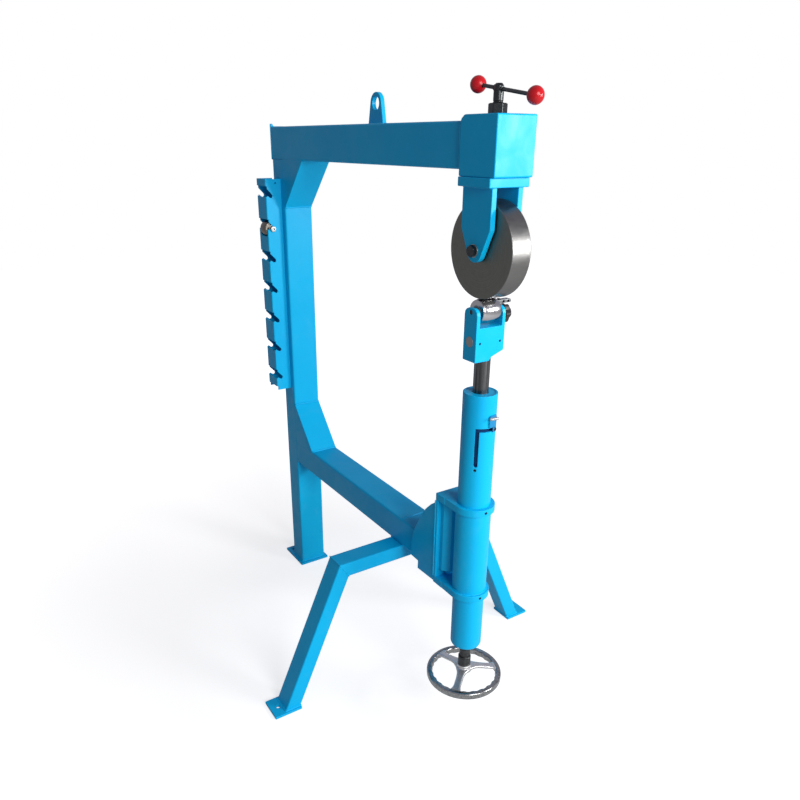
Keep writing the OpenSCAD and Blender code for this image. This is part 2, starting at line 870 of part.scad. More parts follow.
module lift_nut() {
  color("goldenrod") place() difference() {
    union() {
      translate([0, 0, ram_under]) cylinder(d = nut_d, h = lift_nut_h - lift_flange);
      translate([0, 0, ram_under - lift_flange]) cylinder(d = ram_d, h = lift_flange);
    }
    translate([0, 0, ram_under - lift_flange - 1]) cylinder(d = screw_d + 2*fit, h = lift_nut_h + 2);
  }
}

module yoke() {
  w = yoke_w/2;
  d = yoke_d/2;
  u = yoke_under;
  t = yoke_top;
  color("deepskyblue") place() difference() {
    plate_yz(-w, w, [[-d, u], [d - 3, u], [d, u + 3], [d, t - 16], [d - 2, t - 8], [d - 7, t - 3],
      [d - 14, t], [14 - d, t], [7 - d, t - 3], [2 - d, t - 8], [-d, t - 16]]);
    translate([0, yoke_d, 0]) rotate([90, 0, 0]) linear_extrude(2*yoke_d)
      polygon([[w - 30, u - 1], [w - 30, u], [w, u + 12], [w + 1, u + 12], [w + 1, u - 1]]);
    translate([-cheek_in, -yoke_d, slot_floor]) cube([2*cheek_in, 2*yoke_d, yoke_h]);
    translate([0, 0, u - 1]) cylinder(d = ram_d, h = ram_top - u + 1);
    along_x(-yoke_w, yoke_w, 0, cross_z, cross_pin_d);
    along_x(-yoke_w, yoke_w, 0, axle_z, anvil_axle_d + 2*fit);
    along_x(0, yoke_w, 0, lock_z, lock_d + 2*fit);
    for (s = [-1, 1]) translate([s*grub_x, 8 - d, cross_z - 2]) rotate([90, 0, 0])
      cylinder(d = grub_d, h = 10);
    translate([keeper_x, 0, t - 8]) cylinder(d = keeper_screw_d, h = 10);
  }
}

module yoke_cross_pin() {
  color("silver") place() along_x(-yoke_w/2, yoke_w/2, 0, cross_z, cross_pin_d);
}

module yoke_screws() {
  color("black") place() {
    for (s = [-1, 1]) translate([s*grub_x, 8 - yoke_d/2, cross_z - 2]) rotate([90, 0, 0])
      difference() {
        cylinder(d = grub_d, h = 7);
        translate([0, 0, 4]) cylinder(d = grub_d/2/cos(30), h = 4, $fn = 6);
      }
    translate([keeper_x, 0, yoke_top - 8]) cylinder(d = keeper_screw_d, h = 12);
    translate([keeper_x, 0, yoke_top + 3]) cylinder(d = 2*keeper_screw_d, h = 2.5);
  }
}

module axle_keeper() {
  color("silver") place() difference() {
    translate([keeper_x - 9, -8, yoke_top]) cube([42, 16, 3]);
    translate([keeper_x, 0, yoke_top - 1]) cylinder(d = keeper_screw_d, h = 5);
    translate([keeper_x + 24, 0, yoke_top - 1]) cylinder(d = 7, h = 5);
  }
}

// anvil wheel, its axle and lock knob

module anvil_wheel() {
  h = anvil_w/2;
  r = anvil_d/2;
  b = anvil_axle_d/2;
  c = anvil_crown;
  s = h - anvil_seat;
  color("white") place() translate([0, 0, axle_z]) rotate([0, 90, 0]) rotate_extrude($fn = 96)
    polygon([[b + 2, -s], [b + 8, -s], [b + 8, -h], [r - c - 2, -h], [r - c, 2 - h],
      [r - c*0.56, -h*0.75], [r - c*0.25, -h*0.5], [r - c*0.06, -h*0.25], [r, 0],
      [r - c*0.06, h*0.25], [r - c*0.25, h*0.5], [r - c*0.56, h*0.75],
      [r - c, h - 2], [r - c - 2, h], [b + 8, h], [b + 8, s], [b + 2, s]]);
}

module anvil_bearings() {
  h = anvil_w/2;
  color("silver") place() {
    washer_x(-h, anvil_seat - h, axle_z, anvil_axle_d + 16, anvil_axle_d + 2*fit);
    washer_x(h - anvil_seat, h, axle_z, anvil_axle_d + 16, anvil_axle_d + 2*fit);
  }
}

module anvil_spacers() {
  x = anvil_w/2 + joint_gap;
  color("silver") place() {
    washer_x(-cheek_in, -x, axle_z, anvil_axle_d + 6, anvil_axle_d + 2*fit);
    washer_x(x, cheek_in, axle_z, anvil_axle_d + 6, anvil_axle_d + 2*fit);
  }
}

module anvil_axle() {
  color("dimgray") place() along_x(1 - yoke_w/2, yoke_w/2, 0, axle_z, anvil_axle_d);
}

module lock_knob() {
  r = knob_d/2;
  color("black") place() translate([knob_x, 0, lock_z]) rotate([0, 90, 0]) difference() {
    union() {
      cylinder(d = knob_d*0.6, h = knob_t);
      linear_extrude(knob_t - 7) polygon([for (i = [0:41])
        (r - 2.2 + 2.2*cos(i*60))*[cos(i*360/42), sin(i*360/42)]]);
    }
    translate([0, 0, -1]) cylinder(d = lock_d, h = knob_t + 2);
  }
}

module lock_screw() {
  color("silver") place() {
    along_x(cheek_in, knob_x + knob_t + 3, 0, lock_z, lock_d);
    along_x(yoke_w/2 + fit, knob_x, 0, lock_z, lock_d*4.2);
  }
}

// adjusting screw and hand wheel

module adjusting_screw() {
  z = screw_collar_z + screw_collar_h;
  color("dimgray") place() {
    translate([0, 0, z]) cylinder(d = screw_d, h = screw_top - z);
    translate([0, 0, screw_collar_z]) cylinder(d = bearing_d - 3, h = screw_collar_h);
    translate([0, 0, hub_top]) cylinder(d = journal_d, h = screw_collar_z - hub_top);
    translate([0, 0, hub_z]) cylinder(d = hub_d, h = hub_top - hub_z);
    translate([0, 0, rim_z - 10]) cylinder(d = hub_bore, h = hub_z - rim_z + 10);
  }
}

module hand_wheel() {
  r = handwheel_d/2;
  fall = hub_z - rim_z - 15;
  w = spoke_root/2;
  color("silver") place() difference() {
    union() {
      translate([0, 0, rim_z - rim_h/2]) rotate_extrude($fn = 96) polygon([
        [rim_in + 2, 0], [r - 4, 0], [r - 1, 1], [r, 4], [r, rim_h - 4], [r - 1, rim_h - 1],
        [r - 4, rim_h], [rim_in + 2, rim_h], [rim_in, rim_h - 2], [rim_in, 2]]);
      translate([0, 0, rim_z + 3]) cylinder(d1 = hub_d + 11, d2 = hub_d + 6, h = hub_z - rim_z - 3);
      for (i = [0:2]) rotate([0, 0, spoke_a + 120*i]) translate([12, 0, hub_z - 15])
        rotate([0, atan(fall/(rim_in - 12)), 0]) linear_extrude(spoke_t)
          polygon([[0, -w], [w*2/3, -w], [w*1.6, -w*0.6], [rim_in - 5, -w*7/15],
            [rim_in - 5, w*7/15], [w*1.6, w*0.6], [w*2/3, w], [0, w]]);
    }
    translate([0, 0, rim_z - rim_h]) cylinder(d = hub_bore, h = 4*rim_h);
  }
}

module hand_wheel_nut() {
  color("dimgray") place() translate([0, 0, rim_z - 8]) difference() {
    cylinder(d = hub_bore*1.5/cos(30), h = 11, $fn = 6);
    translate([0, 0, -1]) cylinder(d = hub_bore, h = 14);
  }
}

// release lever in the column slot

module release_sleeve() {
  color("dimgray") place() difference() {
    ring(ring_top + 0.2, rel_top - ring_top, column_bore - 2*fit, ram_d + 2*fit);
    radial(pin_a, level_z, pin_r, column_bore, pin_d);
  }
}

module release_pin() {
  color("silver") place() {
    radial(pin_a, level_z, pin_r, lever_r + lever_t + 2, pin_d);
    radial(pin_a - 12, lever_top - 5, lever_r + lever_t, lever_r + 22, 8);
  }
}

module release_lever() {
  z = level_z - 7;
  color("deepskyblue") place() difference() {
    arc_block(pin_a - 28, pin_a + 8, lever_r, lever_r + lever_t, z, lever_top - z);
    arc_block(pin_a - 30, pin_a - 9, lever_r - 2, lever_r + lever_t + 2, z - 2, 16);
    radial(pin_a, level_z, pin_r, column_d, pin_d);
  }
}
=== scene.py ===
"""Look of a floor standing english wheel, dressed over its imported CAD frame.

Sizes in the classes are millimetres from the working axis, the upright line through both wheels:
X across, Y away from the operator, Z above the floor. Workshop.make() turns them into metres of
the row frame, in which that axis stands at y = AXIS_Y.
"""

import json
import logging
import math
from dataclasses import dataclass
from enum import Enum
from typing import Callable, Sequence

import bmesh
import bpy
import numpy as np
from mathutils import Matrix, Vector
from numpy.typing import NDArray


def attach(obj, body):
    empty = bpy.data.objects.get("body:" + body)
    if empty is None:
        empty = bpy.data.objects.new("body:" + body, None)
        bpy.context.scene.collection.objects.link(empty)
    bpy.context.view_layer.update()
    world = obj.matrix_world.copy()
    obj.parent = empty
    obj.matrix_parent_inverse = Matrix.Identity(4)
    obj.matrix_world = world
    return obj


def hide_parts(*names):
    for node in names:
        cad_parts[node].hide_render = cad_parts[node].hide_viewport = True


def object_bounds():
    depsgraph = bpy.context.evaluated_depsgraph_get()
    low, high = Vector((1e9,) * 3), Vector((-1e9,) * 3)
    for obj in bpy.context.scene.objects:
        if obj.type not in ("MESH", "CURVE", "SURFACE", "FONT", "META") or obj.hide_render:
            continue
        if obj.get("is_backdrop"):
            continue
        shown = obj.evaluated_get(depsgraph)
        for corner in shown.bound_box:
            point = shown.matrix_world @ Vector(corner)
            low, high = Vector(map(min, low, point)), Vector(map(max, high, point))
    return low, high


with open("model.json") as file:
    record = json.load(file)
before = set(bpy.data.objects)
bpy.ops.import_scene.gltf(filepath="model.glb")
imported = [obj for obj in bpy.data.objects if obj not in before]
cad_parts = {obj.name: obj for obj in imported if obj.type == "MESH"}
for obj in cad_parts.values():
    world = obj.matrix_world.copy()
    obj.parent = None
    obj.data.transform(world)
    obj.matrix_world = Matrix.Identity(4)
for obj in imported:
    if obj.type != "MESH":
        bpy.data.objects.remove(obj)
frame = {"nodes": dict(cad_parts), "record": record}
CAD_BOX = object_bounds()

LOG = logging.getLogger("english_wheel")
TAU = 2.0 * math.pi

Array = NDArray[np.float64]
Line = Sequence[Sequence[float]] | Array
Radii = float | Sequence[float]
Pair = tuple[float, float]
Point = tuple[float, float, float]
Colour = tuple[float, float, float]
Tree = bpy.types.NodeTree
Socket = bpy.types.NodeSocket

ORIGIN: Point = (0.0, 0.0, 0.0)

# Metres: the working axis along the row frame's Y, and how close points are when they merge
AXIS_Y = -0.498955
DOUBLES = 2e-6

# Millimetres: sizes that more than one sub-assembly uses
UPPER_AXLE = 1370.5
LOWER_AXLE = 1230.0
PIN_LEVEL = 1159.0
PIN_RADIUS = 13.0
RAM_RADIUS = 20.0
ARM_LEVELS: Pair = (1540.8, 1639.8)
ARM_HALF = 50.0

# Degrees: an edge on a weld seam stays sharp where it turns by more
SEAM_SHARP = 60.0


class Axis(Enum):
    """Direction of a piece's own third coordinate.

    X lays an outline's pairs on Y and Z, Y on Z and X, and Z on X and Y.
    """

    X = "x"
    Y = "y"
    Z = "z"


class Body(Enum):
    """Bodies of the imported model."""

    FRAME = "frame"
    FORK = "fork"
    UPPER_WHEEL = "upper_wheel"
    CLAMP = "clamp"
    TEE_BAR = "tee_bar"
    RAM = "ram"
    ANVIL = "anvil"
    LOCK_KNOB = "lock_knob"
    HAND_WHEEL = "hand_wheel"
    RELEASE = "release_lever"


class Slot(Enum):
    """Material slots of the record."""

    PAINT = "blue_paint"
    BRIGHT = "bright_steel"
    DARK = "dark_steel"
    WHEEL = "wheel_steel"
    POLISHED = "polished_steel"
    RAM = "ram_steel"
    CAST = "cast_aluminium"
    BRONZE = "bronze"
    RED = "red_plastic"
    BLACK = "black_plastic"


# Surfaces


@dataclass
class Surface:
    """A closed skin: points, the quads between them and flat lids."""

    points: Array
    quads: NDArray[np.int64]
    lids: tuple[NDArray[np.int64], ...] = ()

    def laid(self, axis: Axis, origin: Sequence[float] = ORIGIN) -> "Surface":
        """Swaps the coordinates round so that the third one lies along an axis.

        Args:
            axis: direction of the third coordinate.
            origin: where the zero goes afterwards.

        Returns:
            The turned copy; a cyclic swap keeps every face's side.
        """
        x, y, z = self.points.T
        order = {Axis.X: (z, x, y), Axis.Y: (y, z, x), Axis.Z: (x, y, z)}[axis]
        return Surface(np.stack(order, -1) + np.asarray(origin, float), self.quads, self.lids)

    def turned(self, angles: Sequence[float], origin: Sequence[float] = ORIGIN) -> "Surface":
        """Turns the skin about X, then Y, then Z by degrees and moves it.

        Args:
            angles: turns about the three axes.
            origin: where the zero goes afterwards.

        Returns:
            The turned copy.
        """
        a, b, c = np.radians(np.asarray(angles, float))
        rx = np.array([[1, 0, 0], [0, np.cos(a), -np.sin(a)], [0, np.sin(a), np.cos(a)]])
        ry = np.array([[np.cos(b), 0, np.sin(b)], [0, 1, 0], [-np.sin(b), 0, np.cos(b)]])
        rz = np.array([[np.cos(c), -np.sin(c), 0], [np.sin(c), np.cos(c), 0], [0, 0, 1]])
        moved = self.points @ (rz @ ry @ rx).T + np.asarray(origin, float)
        return Surface(moved, self.quads, self.lids)

    def pointed(self, angle: float, level: float) -> "Surface":
        """Lays an upright skin down so that it points away from the working axis.

        Args:
            angle: direction about the axis in degrees.
            level: height.

        Returns:
            The turned copy.
        """
        return self.turned((0, 90, angle), (0, 0, level))


def weave(grid: Array, through: bool = False, lids: bool = True) -> Surface:
    """Skins a grid of points: rows go once around a section, columns along the piece.

    Args:
        grid: points of shape (rows, columns, 3).
        through: whether the last column joins the first, as in a ring.
        lids: whether open ends are closed by flat faces.

    Returns:
        The surface.
    """
    n, m = grid.shape[:2]
    i = np.arange(n)[:, None]
    j = np.arange(m if through else m - 1)[None, :]
    a, b = i * m + j, ((i + 1) % n) * m + j
    c, d = ((i + 1) % n) * m + (j + 1) % m, i * m + (j + 1) % m
    quads = np.stack(np.broadcast_arrays(a, b, c, d), -1).reshape(-1, 4)
    ends = (np.arange(n) * m, np.arange(n)[::-1] * m + m - 1)
    return Surface(grid.reshape(-1, 3), quads, ends if lids and not through else ())


def rectangle(x0: float, x1: float, y0: float, y1: float) -> list[list[float]]:
    """Corners of a rectangle, anticlockwise."""
    return [[x0, y0], [x1, y0], [x1, y1], [x0, y1]]


def flipped(outline: Array) -> Array:
    """Swaps the two coordinates of an outline and keeps it anticlockwise."""
    return outline[::-1, ::-1]


def unit(rows: Array) -> Array:
    """Scales each row to length 1."""
    return rows / np.maximum(np.linalg.norm(rows, axis=1), 1e-9)[:, None]


def polar(r: Array, t: Array, z: Array) -> Array:
    """Points at the radius r, the angle t and the height z: (r cos t, r sin t, z)."""
    return np.stack(np.broadcast_arrays(r * np.cos(t), r * np.sin(t), z), -1)


def circle(radius: float, count: int = 48, start: float = 0.0, end: float = 360.0) -> Array:
    """Points on a circle or on an arc: (radius cos t, radius sin t) for even steps of t.

    Args:
        radius: its radius.
        count: number of points.
        start: first angle in degrees.
        end: last angle; a whole turn leaves out the last point.

    Returns:
        The points.
    """
    whole = abs(end - start) >= 360
    t = np.radians(np.linspace(start, end, count, endpoint=not whole))
    return np.stack([radius * np.cos(t), radius * np.sin(t)], -1)


def curved(corners: Line, radius: Radii, steps: int) -> Array:
    """Turns each corner of a closed outline into a curve.

    Each corner becomes the quadratic curve (1-s)^2 A + 2s(1-s) C + s^2 B between the points A and
    B that lie one tangent length before and after the corner C. The tangent length is the radius
    over the tangent of half the inner angle, and at most 0.48 of either side.

    Args:
        corners: outline points.
        radius: one radius, or one for each corner.
        steps: points on each curve.

    Returns:
        The curves, of shape (corners, steps, 2).
    """
    p = np.asarray(corners, float)
    r = np.broadcast_to(np.asarray(radius, float), (len(p),))
    before, after = np.roll(p, 1, 0) - p, np.roll(p, -1, 0) - p
    lb, la = np.linalg.norm(before, axis=1), np.linalg.norm(after, axis=1)
    ub, ua = before / lb[:, None], after / la[:, None]
    half = np.arccos(np.clip((ub * ua).sum(1), -0.9999, 0.9999)) / 2
    reach = np.minimum(r / np.tan(half), 0.48 * np.minimum(lb, la))[:, None, None]
    s = np.linspace(0, 1, steps)[None, :, None]
    start, end = p[:, None] + ub[:, None] * reach, p[:, None] + ua[:, None] * reach
    return (1 - s) ** 2 * start + 2 * s * (1 - s) * p[:, None] + s**2 * end


def fillet(corners: Line, radius: Radii, steps: int = 5) -> Array:
    """Rounds the corners of a closed outline as curved() does.

    Args:
        corners: outline points.
        radius: one radius, or one for each corner; 0 keeps a corner sharp.
        steps: points on each curve.

    Returns:
        The outline, without points that coincide.
    """
    out = curved(corners, radius, steps).reshape(-1, 2)
    return out[np.linalg.norm(out - np.roll(out, 1, 0), axis=1) > 1e-4]


def dense(outline: Array, step: float) -> Array:
    """Adds points along the sides of a closed outline, at equal shares of each side.

    Args:
        outline: points.
        step: greatest distance between neighbours.

    Returns:
        The finer outline.
    """
    ahead = np.roll(outline, -1, 0) - outline
    count = np.maximum(1, np.ceil(np.linalg.norm(ahead, axis=1) / step)).astype(int)
    which = np.repeat(np.arange(len(outline)), count)
    part = (np.arange(count.sum()) - np.repeat(np.cumsum(count) - count, count)) / count[which]
    return outline[which] + part[:, None] * ahead[which]


def drawn_in(outline: Array, depth: Array) -> Array:
    """Moves a closed anticlockwise outline inwards along its corner bisectors.

    No point moves so far that a side of the outline would shrink to nothing.

    Args:
        outline: points.
        depth: k distances, positive inwards.

    Returns:
        Outlines of shape (points, k, 2).
    """
    outline = np.asarray(outline, float)
    before, after = outline - np.roll(outline, 1, 0), np.roll(outline, -1, 0) - outline
    nb = unit(np.stack([-before[:, 1], before[:, 0]], -1))
    na = unit(np.stack([-after[:, 1], after[:, 0]], -1))
    mean = unit(nb + na)
    move = mean / np.maximum((mean * nb).sum(1), 0.4)[:, None]
    length = np.maximum(np.linalg.norm(after, axis=1), 1e-9)
    shrink = ((move - np.roll(move, -1, 0)) * after).sum(1) / length
    room = 0.9 * length / np.maximum(shrink, 1e-6)
    most = np.minimum(room, np.roll(room, 1))[:, None]
    return outline[:, None] + move[:, None] * np.minimum(depth[None], most)[..., None]


def rim(low: float, high: float, edge: float, steps: int = 4) -> tuple[Array, Array]:
    """Section of a plate's edge: a quarter circle, the side and a quarter circle.

    Args:
        low: lower face.
        high: upper face.
        edge: radius of both quarter circles.
        steps: points on each.

    Returns:
        How far the outline is drawn in, and the level, at each point of the section.
    """
    q = np.linspace(0, math.pi / 2, steps)
    depth = edge * (1 - np.sin(q))
    rise = edge * (1 - np.cos(q))
    return np.concatenate([depth, depth[::-1]]), np.concatenate([low + rise, high - rise[::-1]])


def raised(flat: Array, level: Array) -> Array:
    """Gives each column of a flat grid its level as third coordinate."""
    tall = np.broadcast_to(level[None, :, None], (*flat.shape[:2], 1))
    return np.concatenate([flat, tall], -1)


def slab(outline: Array, low: float, high: float, edge: float, axis: Axis = Axis.Z,
         origin: Sequence[float] = ORIGIN) -> Surface:
    """A plate with rounded edges: the section of rim() carried round an outline.

    Args:
        outline: anticlockwise outline.
        low: lower face along the axis.
        high: upper face along the axis.
        edge: radius of the edges.
        axis: normal of the plate.
        origin: where the outline's zero lies.

    Returns:
        The surface.
    """
    depth, level = rim(low, high, edge)
    return weave(raised(drawn_in(outline, depth), level)).laid(axis, origin)


def block(x: Sequence[float], y: Sequence[float], z: Sequence[float], corner: float, edge: float,
          axis: Axis = Axis.Z) -> Surface:
    """A box with rounded edges.

    Args:
        x: its two ends across.
        y: its two ends along Y.
        z: its two levels.
        corner: radius of the edges along the axis.
        edge: radius of the others.
        axis: direction of the plate that it is made as.

    Returns:
        The surface.
    """
    pairs = {Axis.Z: (x, y, z), Axis.X: (y, z, x), Axis.Y: (z, x, y)}[axis]
    (a, b), (c, d), (low, high) = pairs
    return slab(fillet(rectangle(a, b, c, d), corner, 6), low, high, edge, axis)


def pierced(outline: Array, bore: float, low: float, high: float, edge: float,
            axis: Axis = Axis.Z, origin: Sequence[float] = ORIGIN) -> Surface:
    """A plate with a round bore at the outline's zero.

    Each outline point has its own closed section, which runs from the outline over the upper face
    to the point of the bore at the same angle, down the bore and back under the lower face.

    Args:
        outline: anticlockwise outline that is seen whole from the zero.
        bore: radius of the bore.
        low: lower face.
        high: upper face.
        edge: radius of the outer edges; the bore's edges have a third of it.
        axis: direction of the bore.
        origin: where the bore's axis lies.

    Returns:
        The surface.
    """
    fine = dense(outline, 4.0)
    depth, level = rim(low, high, edge)
    outer = drawn_in(fine, depth)
    lip = edge / 3
    radii = np.array([bore + lip, bore, bore, bore + lip])
    inner = unit(fine)[:, None] * radii[None, :, None]
    tall = np.concatenate([level, [high, high - lip, low + lip, low]])
    grid = raised(np.concatenate([outer, inner], 1), tall)
    return weave(grid, through=True).laid(axis, origin)


def lathe(profile: Line, axis: Axis = Axis.Z, origin: Sequence[float] = ORIGIN, count: int = 96,
          ring: bool = False, swell: Callable[[Array], Array] | None = None) -> Surface:
    """Turns a profile of (along, radius) pairs about an axis.

    The point at the angle t is (radius cos t, radius sin t, along).

    Args:
        profile: rows of distance along the axis and radius.
        axis: direction of the axis.
        origin: where the axis and its zero lie.
        count: steps about the axis.
        ring: whether the profile is a loop.
        swell: gives what is added to the radii of the profile at an angle.

    Returns:
        The surface.
    """
    p = np.asarray(profile, float)
    t = np.linspace(0, TAU, count, endpoint=False)[:, None]
    r = p[None, :, 1] + (swell(t) if swell else 0)
    whole = weave(polar(r, t, p[None, :, 0]), through=ring, lids=p[0, 1] > 0 or p[-1, 1] > 0)
    return whole.laid(axis, origin)


def rounded(points: Line, radius: Radii, steps: int = 4) -> Array:
    """Rounds the inner corners of an open profile as curved() does and keeps its ends.

    Args:
        points: corners of the profile.
        radius: one radius, or one for each corner.
        steps: points on each curve.

    Returns:
        The profile, without points that coincide.
    """
    p = np.asarray(points, float)
    curve = curved(p, radius, steps)
    out = np.concatenate([p[:1], curve[1:-1].reshape(-1, 2), p[-1:]])
    far = np.linalg.norm(np.diff(out, axis=0), axis=1) > 1e-4
    return out[np.insert(far, 0, True)]


def washer(bore: float, radius: float, low: float, high: float, edge: float, axis: Axis,
           origin: Sequence[float] = ORIGIN, count: int = 72) -> Surface:
    """A turned ring: lathe() of a rectangle with rounded corners.

    Args:
        bore: inner radius.
        radius: outer radius.
        low: first face.
        high: last face.
        edge: radius of the corners.
        axis: direction of the bore.
        origin: where its axis lies.
        count: steps about the axis.

    Returns:
        The surface.
    """
    loop = fillet(rectangle(low, high, bore, radius), edge, 4)
    return lathe(loop, axis, origin, count, ring=True)


def rod(low: float, high: float, radius: float, axis: Axis = Axis.Z,
        origin: Sequence[float] = ORIGIN, count: int = 48, edge: float = 0.0) -> Surface:
    """A turned rod: lathe() of its half section, for a pin or for the cutter of a bore.

    Args:
        low: first face.
        high: last face.
        radius: its radius.
        axis: its direction.
        origin: where its axis lies.
        count: steps about the axis.
        edge: radius of the corners.

    Returns:
        The surface.
    """
    profile = [(low, 0), (low, radius), (high, radius), (high, 0)]
    return lathe(rounded(profile, edge) if edge else profile, axis, origin, count)


def hexagon(across: float, low: float, high: float, axis: Axis = Axis.Z,
            origin: Sequence[float] = ORIGIN, bore: float = 0.0, spin: float = 0.0) -> Surface:
    """A nut or a bolt head: a hexagon whose corners are turned off by a cone at both faces.

    The radius at angle t is across/2 over the cosine of the angle to the nearest flat's middle,
    and at most 0.485 across plus 1.73 times the distance from the face.

    Args:
        across: width across flats.
        low: lower face.
        high: upper face.
        axis: direction of the bore.
        origin: where the bore's axis lies.
        bore: radius of the bore; 0 for a solid head.
        spin: angle of the flats in degrees.

    Returns:
        The surface.
    """
    t = np.linspace(0, TAU, 96, endpoint=False)[:, None]
    fold = (t - math.radians(spin)) % (TAU / 6) - TAU / 12
    drop = np.array([0, 0.02, 0.05, 0.09]) * across
    level = np.concatenate([low + drop, (high - drop)[::-1]])[None]
    cone = np.concatenate([drop, drop[::-1]])[None] * 1.73 + across * 0.485
    r = np.minimum(across / 2 / np.cos(fold), cone)
    if bore > 0:
        lip = 0.04 * across
        r = np.concatenate([r, np.array([[bore + lip, bore, bore, bore + lip]]) + 0 * t], 1)
        level = np.concatenate([level, [[high, high - lip, low + lip, low]]], 1)
    return weave(polar(r, t, level), through=bore > 0).laid(axis, origin)


def thread(radius: float, low: float, high: float, pitch: float, axis: Axis,
           origin: Sequence[float] = ORIGIN, count: int = 32) -> Surface:
    """A screw thread: a surface of angle t and height z.

    The radius is the crest's less 0.5 pitch times a clipped triangle wave of z/pitch - t/2pi, and
    both ends are turned down to the root.

    Args:
        radius: radius of the crest.
        low: lower end.
        high: upper end.
        pitch: distance between crests.
        axis: direction of the screw.
        origin: where its axis lies.
        count: steps about the axis.

    Returns:
        The surface.
    """
    t = np.linspace(0, TAU, count, endpoint=False)[:, None]
    z = np.linspace(low, high, max(8, int((high - low) / pitch * 8)))[None]
    wave = np.abs(((z / pitch - t / TAU) % 1.0) * 2 - 1)
    r = radius - 0.5 * pitch * np.clip(wave * 1.3 - 0.12, 0, 1)
    r = np.minimum(r, radius - 0.5 * pitch + np.minimum(z - low, high - z))
    return weave(polar(r, t, z)).laid(axis, origin)


def bead(path: Line, radius: float, closed: bool = False, ripple: float = 4.5) -> Surface:
    """A weld bead: a round section carried along a seam, swelling once for each ripple.

    At the distance s along the seam the radius is
    radius (0.86 + 0.14 |sin(pi s / ripple)| + 0.05 sin(0.061 s)), and open ends taper off.

    Args:
        path: corner points of the seam.
        radius: half width of the bead.
        closed: whether the seam is a loop.
        ripple: distance between ripples.

    Returns:
        The surface.
    """
    p = np.asarray(path, float)
    p = np.concatenate([p, p[:1]]) if closed else p
    along = np.concatenate([[0], np.cumsum(np.linalg.norm(np.diff(p, axis=0), axis=1))])
    s = np.linspace(0, along[-1], max(8, int(along[-1] / ripple * 3)), endpoint=not closed)
    line = np.stack([np.interp(s, along, p[:, k]) for k in range(3)], -1)
    pad = np.concatenate([line[-1:], line, line[:1]]) if closed else np.concatenate(
        [2 * line[:1] - line[1:2], line, 2 * line[-1:] - line[-2:-1]])
    tangent = unit(pad[2:] - pad[:-2])
    side = unit(np.cross(tangent, [0.31, 0.53, 0.79]))
    top = np.cross(side, tangent)
    size = radius * (0.86 + 0.14 * np.abs(np.sin(math.pi * s / ripple)) + 0.05 * np.sin(0.061 * s))
    if not closed:
        size = size * np.sqrt(np.clip(np.minimum(s, along[-1] - s) / radius + 0.1, 0, 1))
    q = np.linspace(0, TAU, 8, endpoint=False)[:, None, None]
    grid = line + size[:, None] * (np.cos(q) * side + np.sin(q) * top)
    return weave(grid, through=closed)


def mirrored(path: Line, radius: float) -> list[Surface]:
    """Two weld beads: a seam's mirror image in X, and the seam itself."""
    return [bead(np.asarray(path, float) * (side, 1, 1), radius) for side in (-1, 1)]


def sector(inner: float, outer: float, start: float, end: float, low: float, high: float,
           edge: float = 0.0) -> Surface:
    """A piece of a ring wall: a rectangular section carried round the upright axis.

    Args:
        inner: inner radius.
        outer: outer radius.
        start: first angle in degrees.
        end: last angle.
        low: lower edge.
        high: upper edge.
        edge: radius by which the wall's two ends are rounded in height.

    Returns:
        The surface.
    """
    a = np.linspace(start, end, 49)
    arc = np.radians(np.minimum(a - start, end - a)) * outer
    cut = edge - np.sqrt(np.clip(edge**2 - np.clip(edge - arc, 0, None) ** 2, 0, None))
    floor, roof = low + cut, high - cut
    lip = 0.5 if edge else 0.0
    r = np.array([inner, outer - lip, outer, outer, outer - lip, inner])[:, None]
    z = np.stack([floor, floor, floor + lip, roof - lip, roof, roof])
    return weave(polar(r, np.radians(a)[None], z))


def strut(section: Array, corner: Sequence[float], along: Sequence[float],
          cuts: Sequence[tuple[Sequence[float], Sequence[float]]]) -> Surface:
    """A straight tube that two planes cut to length.

    The section's first coordinate is laid along Y and the second square to it and to the tube.
    Each section point runs along the tube's direction d from a cut to the other: it meets the
    plane through q with normal n at the distance ((q - point) . n) / (d . n).

    Args:
        section: outline of the tube about its axis.
        corner: a point of the axis.
        along: direction of the tube.
        cuts: a point and a normal for each end.

    Returns:
        The surface.
    """
    d = np.asarray(along, float) / np.linalg.norm(along)
    side = np.cross(d, [0.0, 1.0, 0.0])
    p = np.asarray(corner, float) + section[:, :1] * [0.0, 1.0, 0.0] + section[:, 1:] * side
    ends = [p + (((np.asarray(q) - p) @ np.asarray(n)) / (d @ np.asarray(n)))[:, None] * d
            for q, n in cuts]
    return weave(np.stack(ends, 1))


# Finishes


def feed(tree: Tree, node: bpy.types.Node,
         inputs: dict[int | str, Socket | float | Sequence[float]]) -> None:
    """Links or sets inputs of a node.

    Args:
        tree: the node's tree.
        node: the node.
        inputs: for an input, the socket that feeds it or its plain value.
    """
    for key, value in inputs.items():
        if isinstance(value, Socket):
            tree.links.new(value, node.inputs[key])
        else:
            node.inputs[key].default_value = value


def place(tree: Tree, kind: str, out: int | str = 0,
          inputs: dict[int | str, Socket | float | Sequence[float]] | None = None,
          **settings: str | int) -> Socket:
    """Adds a shader node to a tree.

    Args:
        tree: the tree.
        kind: type of the node, without the word ShaderNode.
        out: the output that is wanted.
        inputs: for an input, the socket that feeds it or its plain value.
        settings: properties of the node.

    Returns:
        The node's output.
    """
    node = tree.nodes.new(f"ShaderNode{kind}")
    for key, value in settings.items():
        setattr(node, key, value)
    feed(tree, node, inputs or {})
    return node.outputs[out]


def maths(tree: Tree, kind: str, a: Socket, b: Socket | float) -> Socket:
    """Works out a value from two."""
    return place(tree, "Math", 0, {0: a, 1: b}, operation=kind)


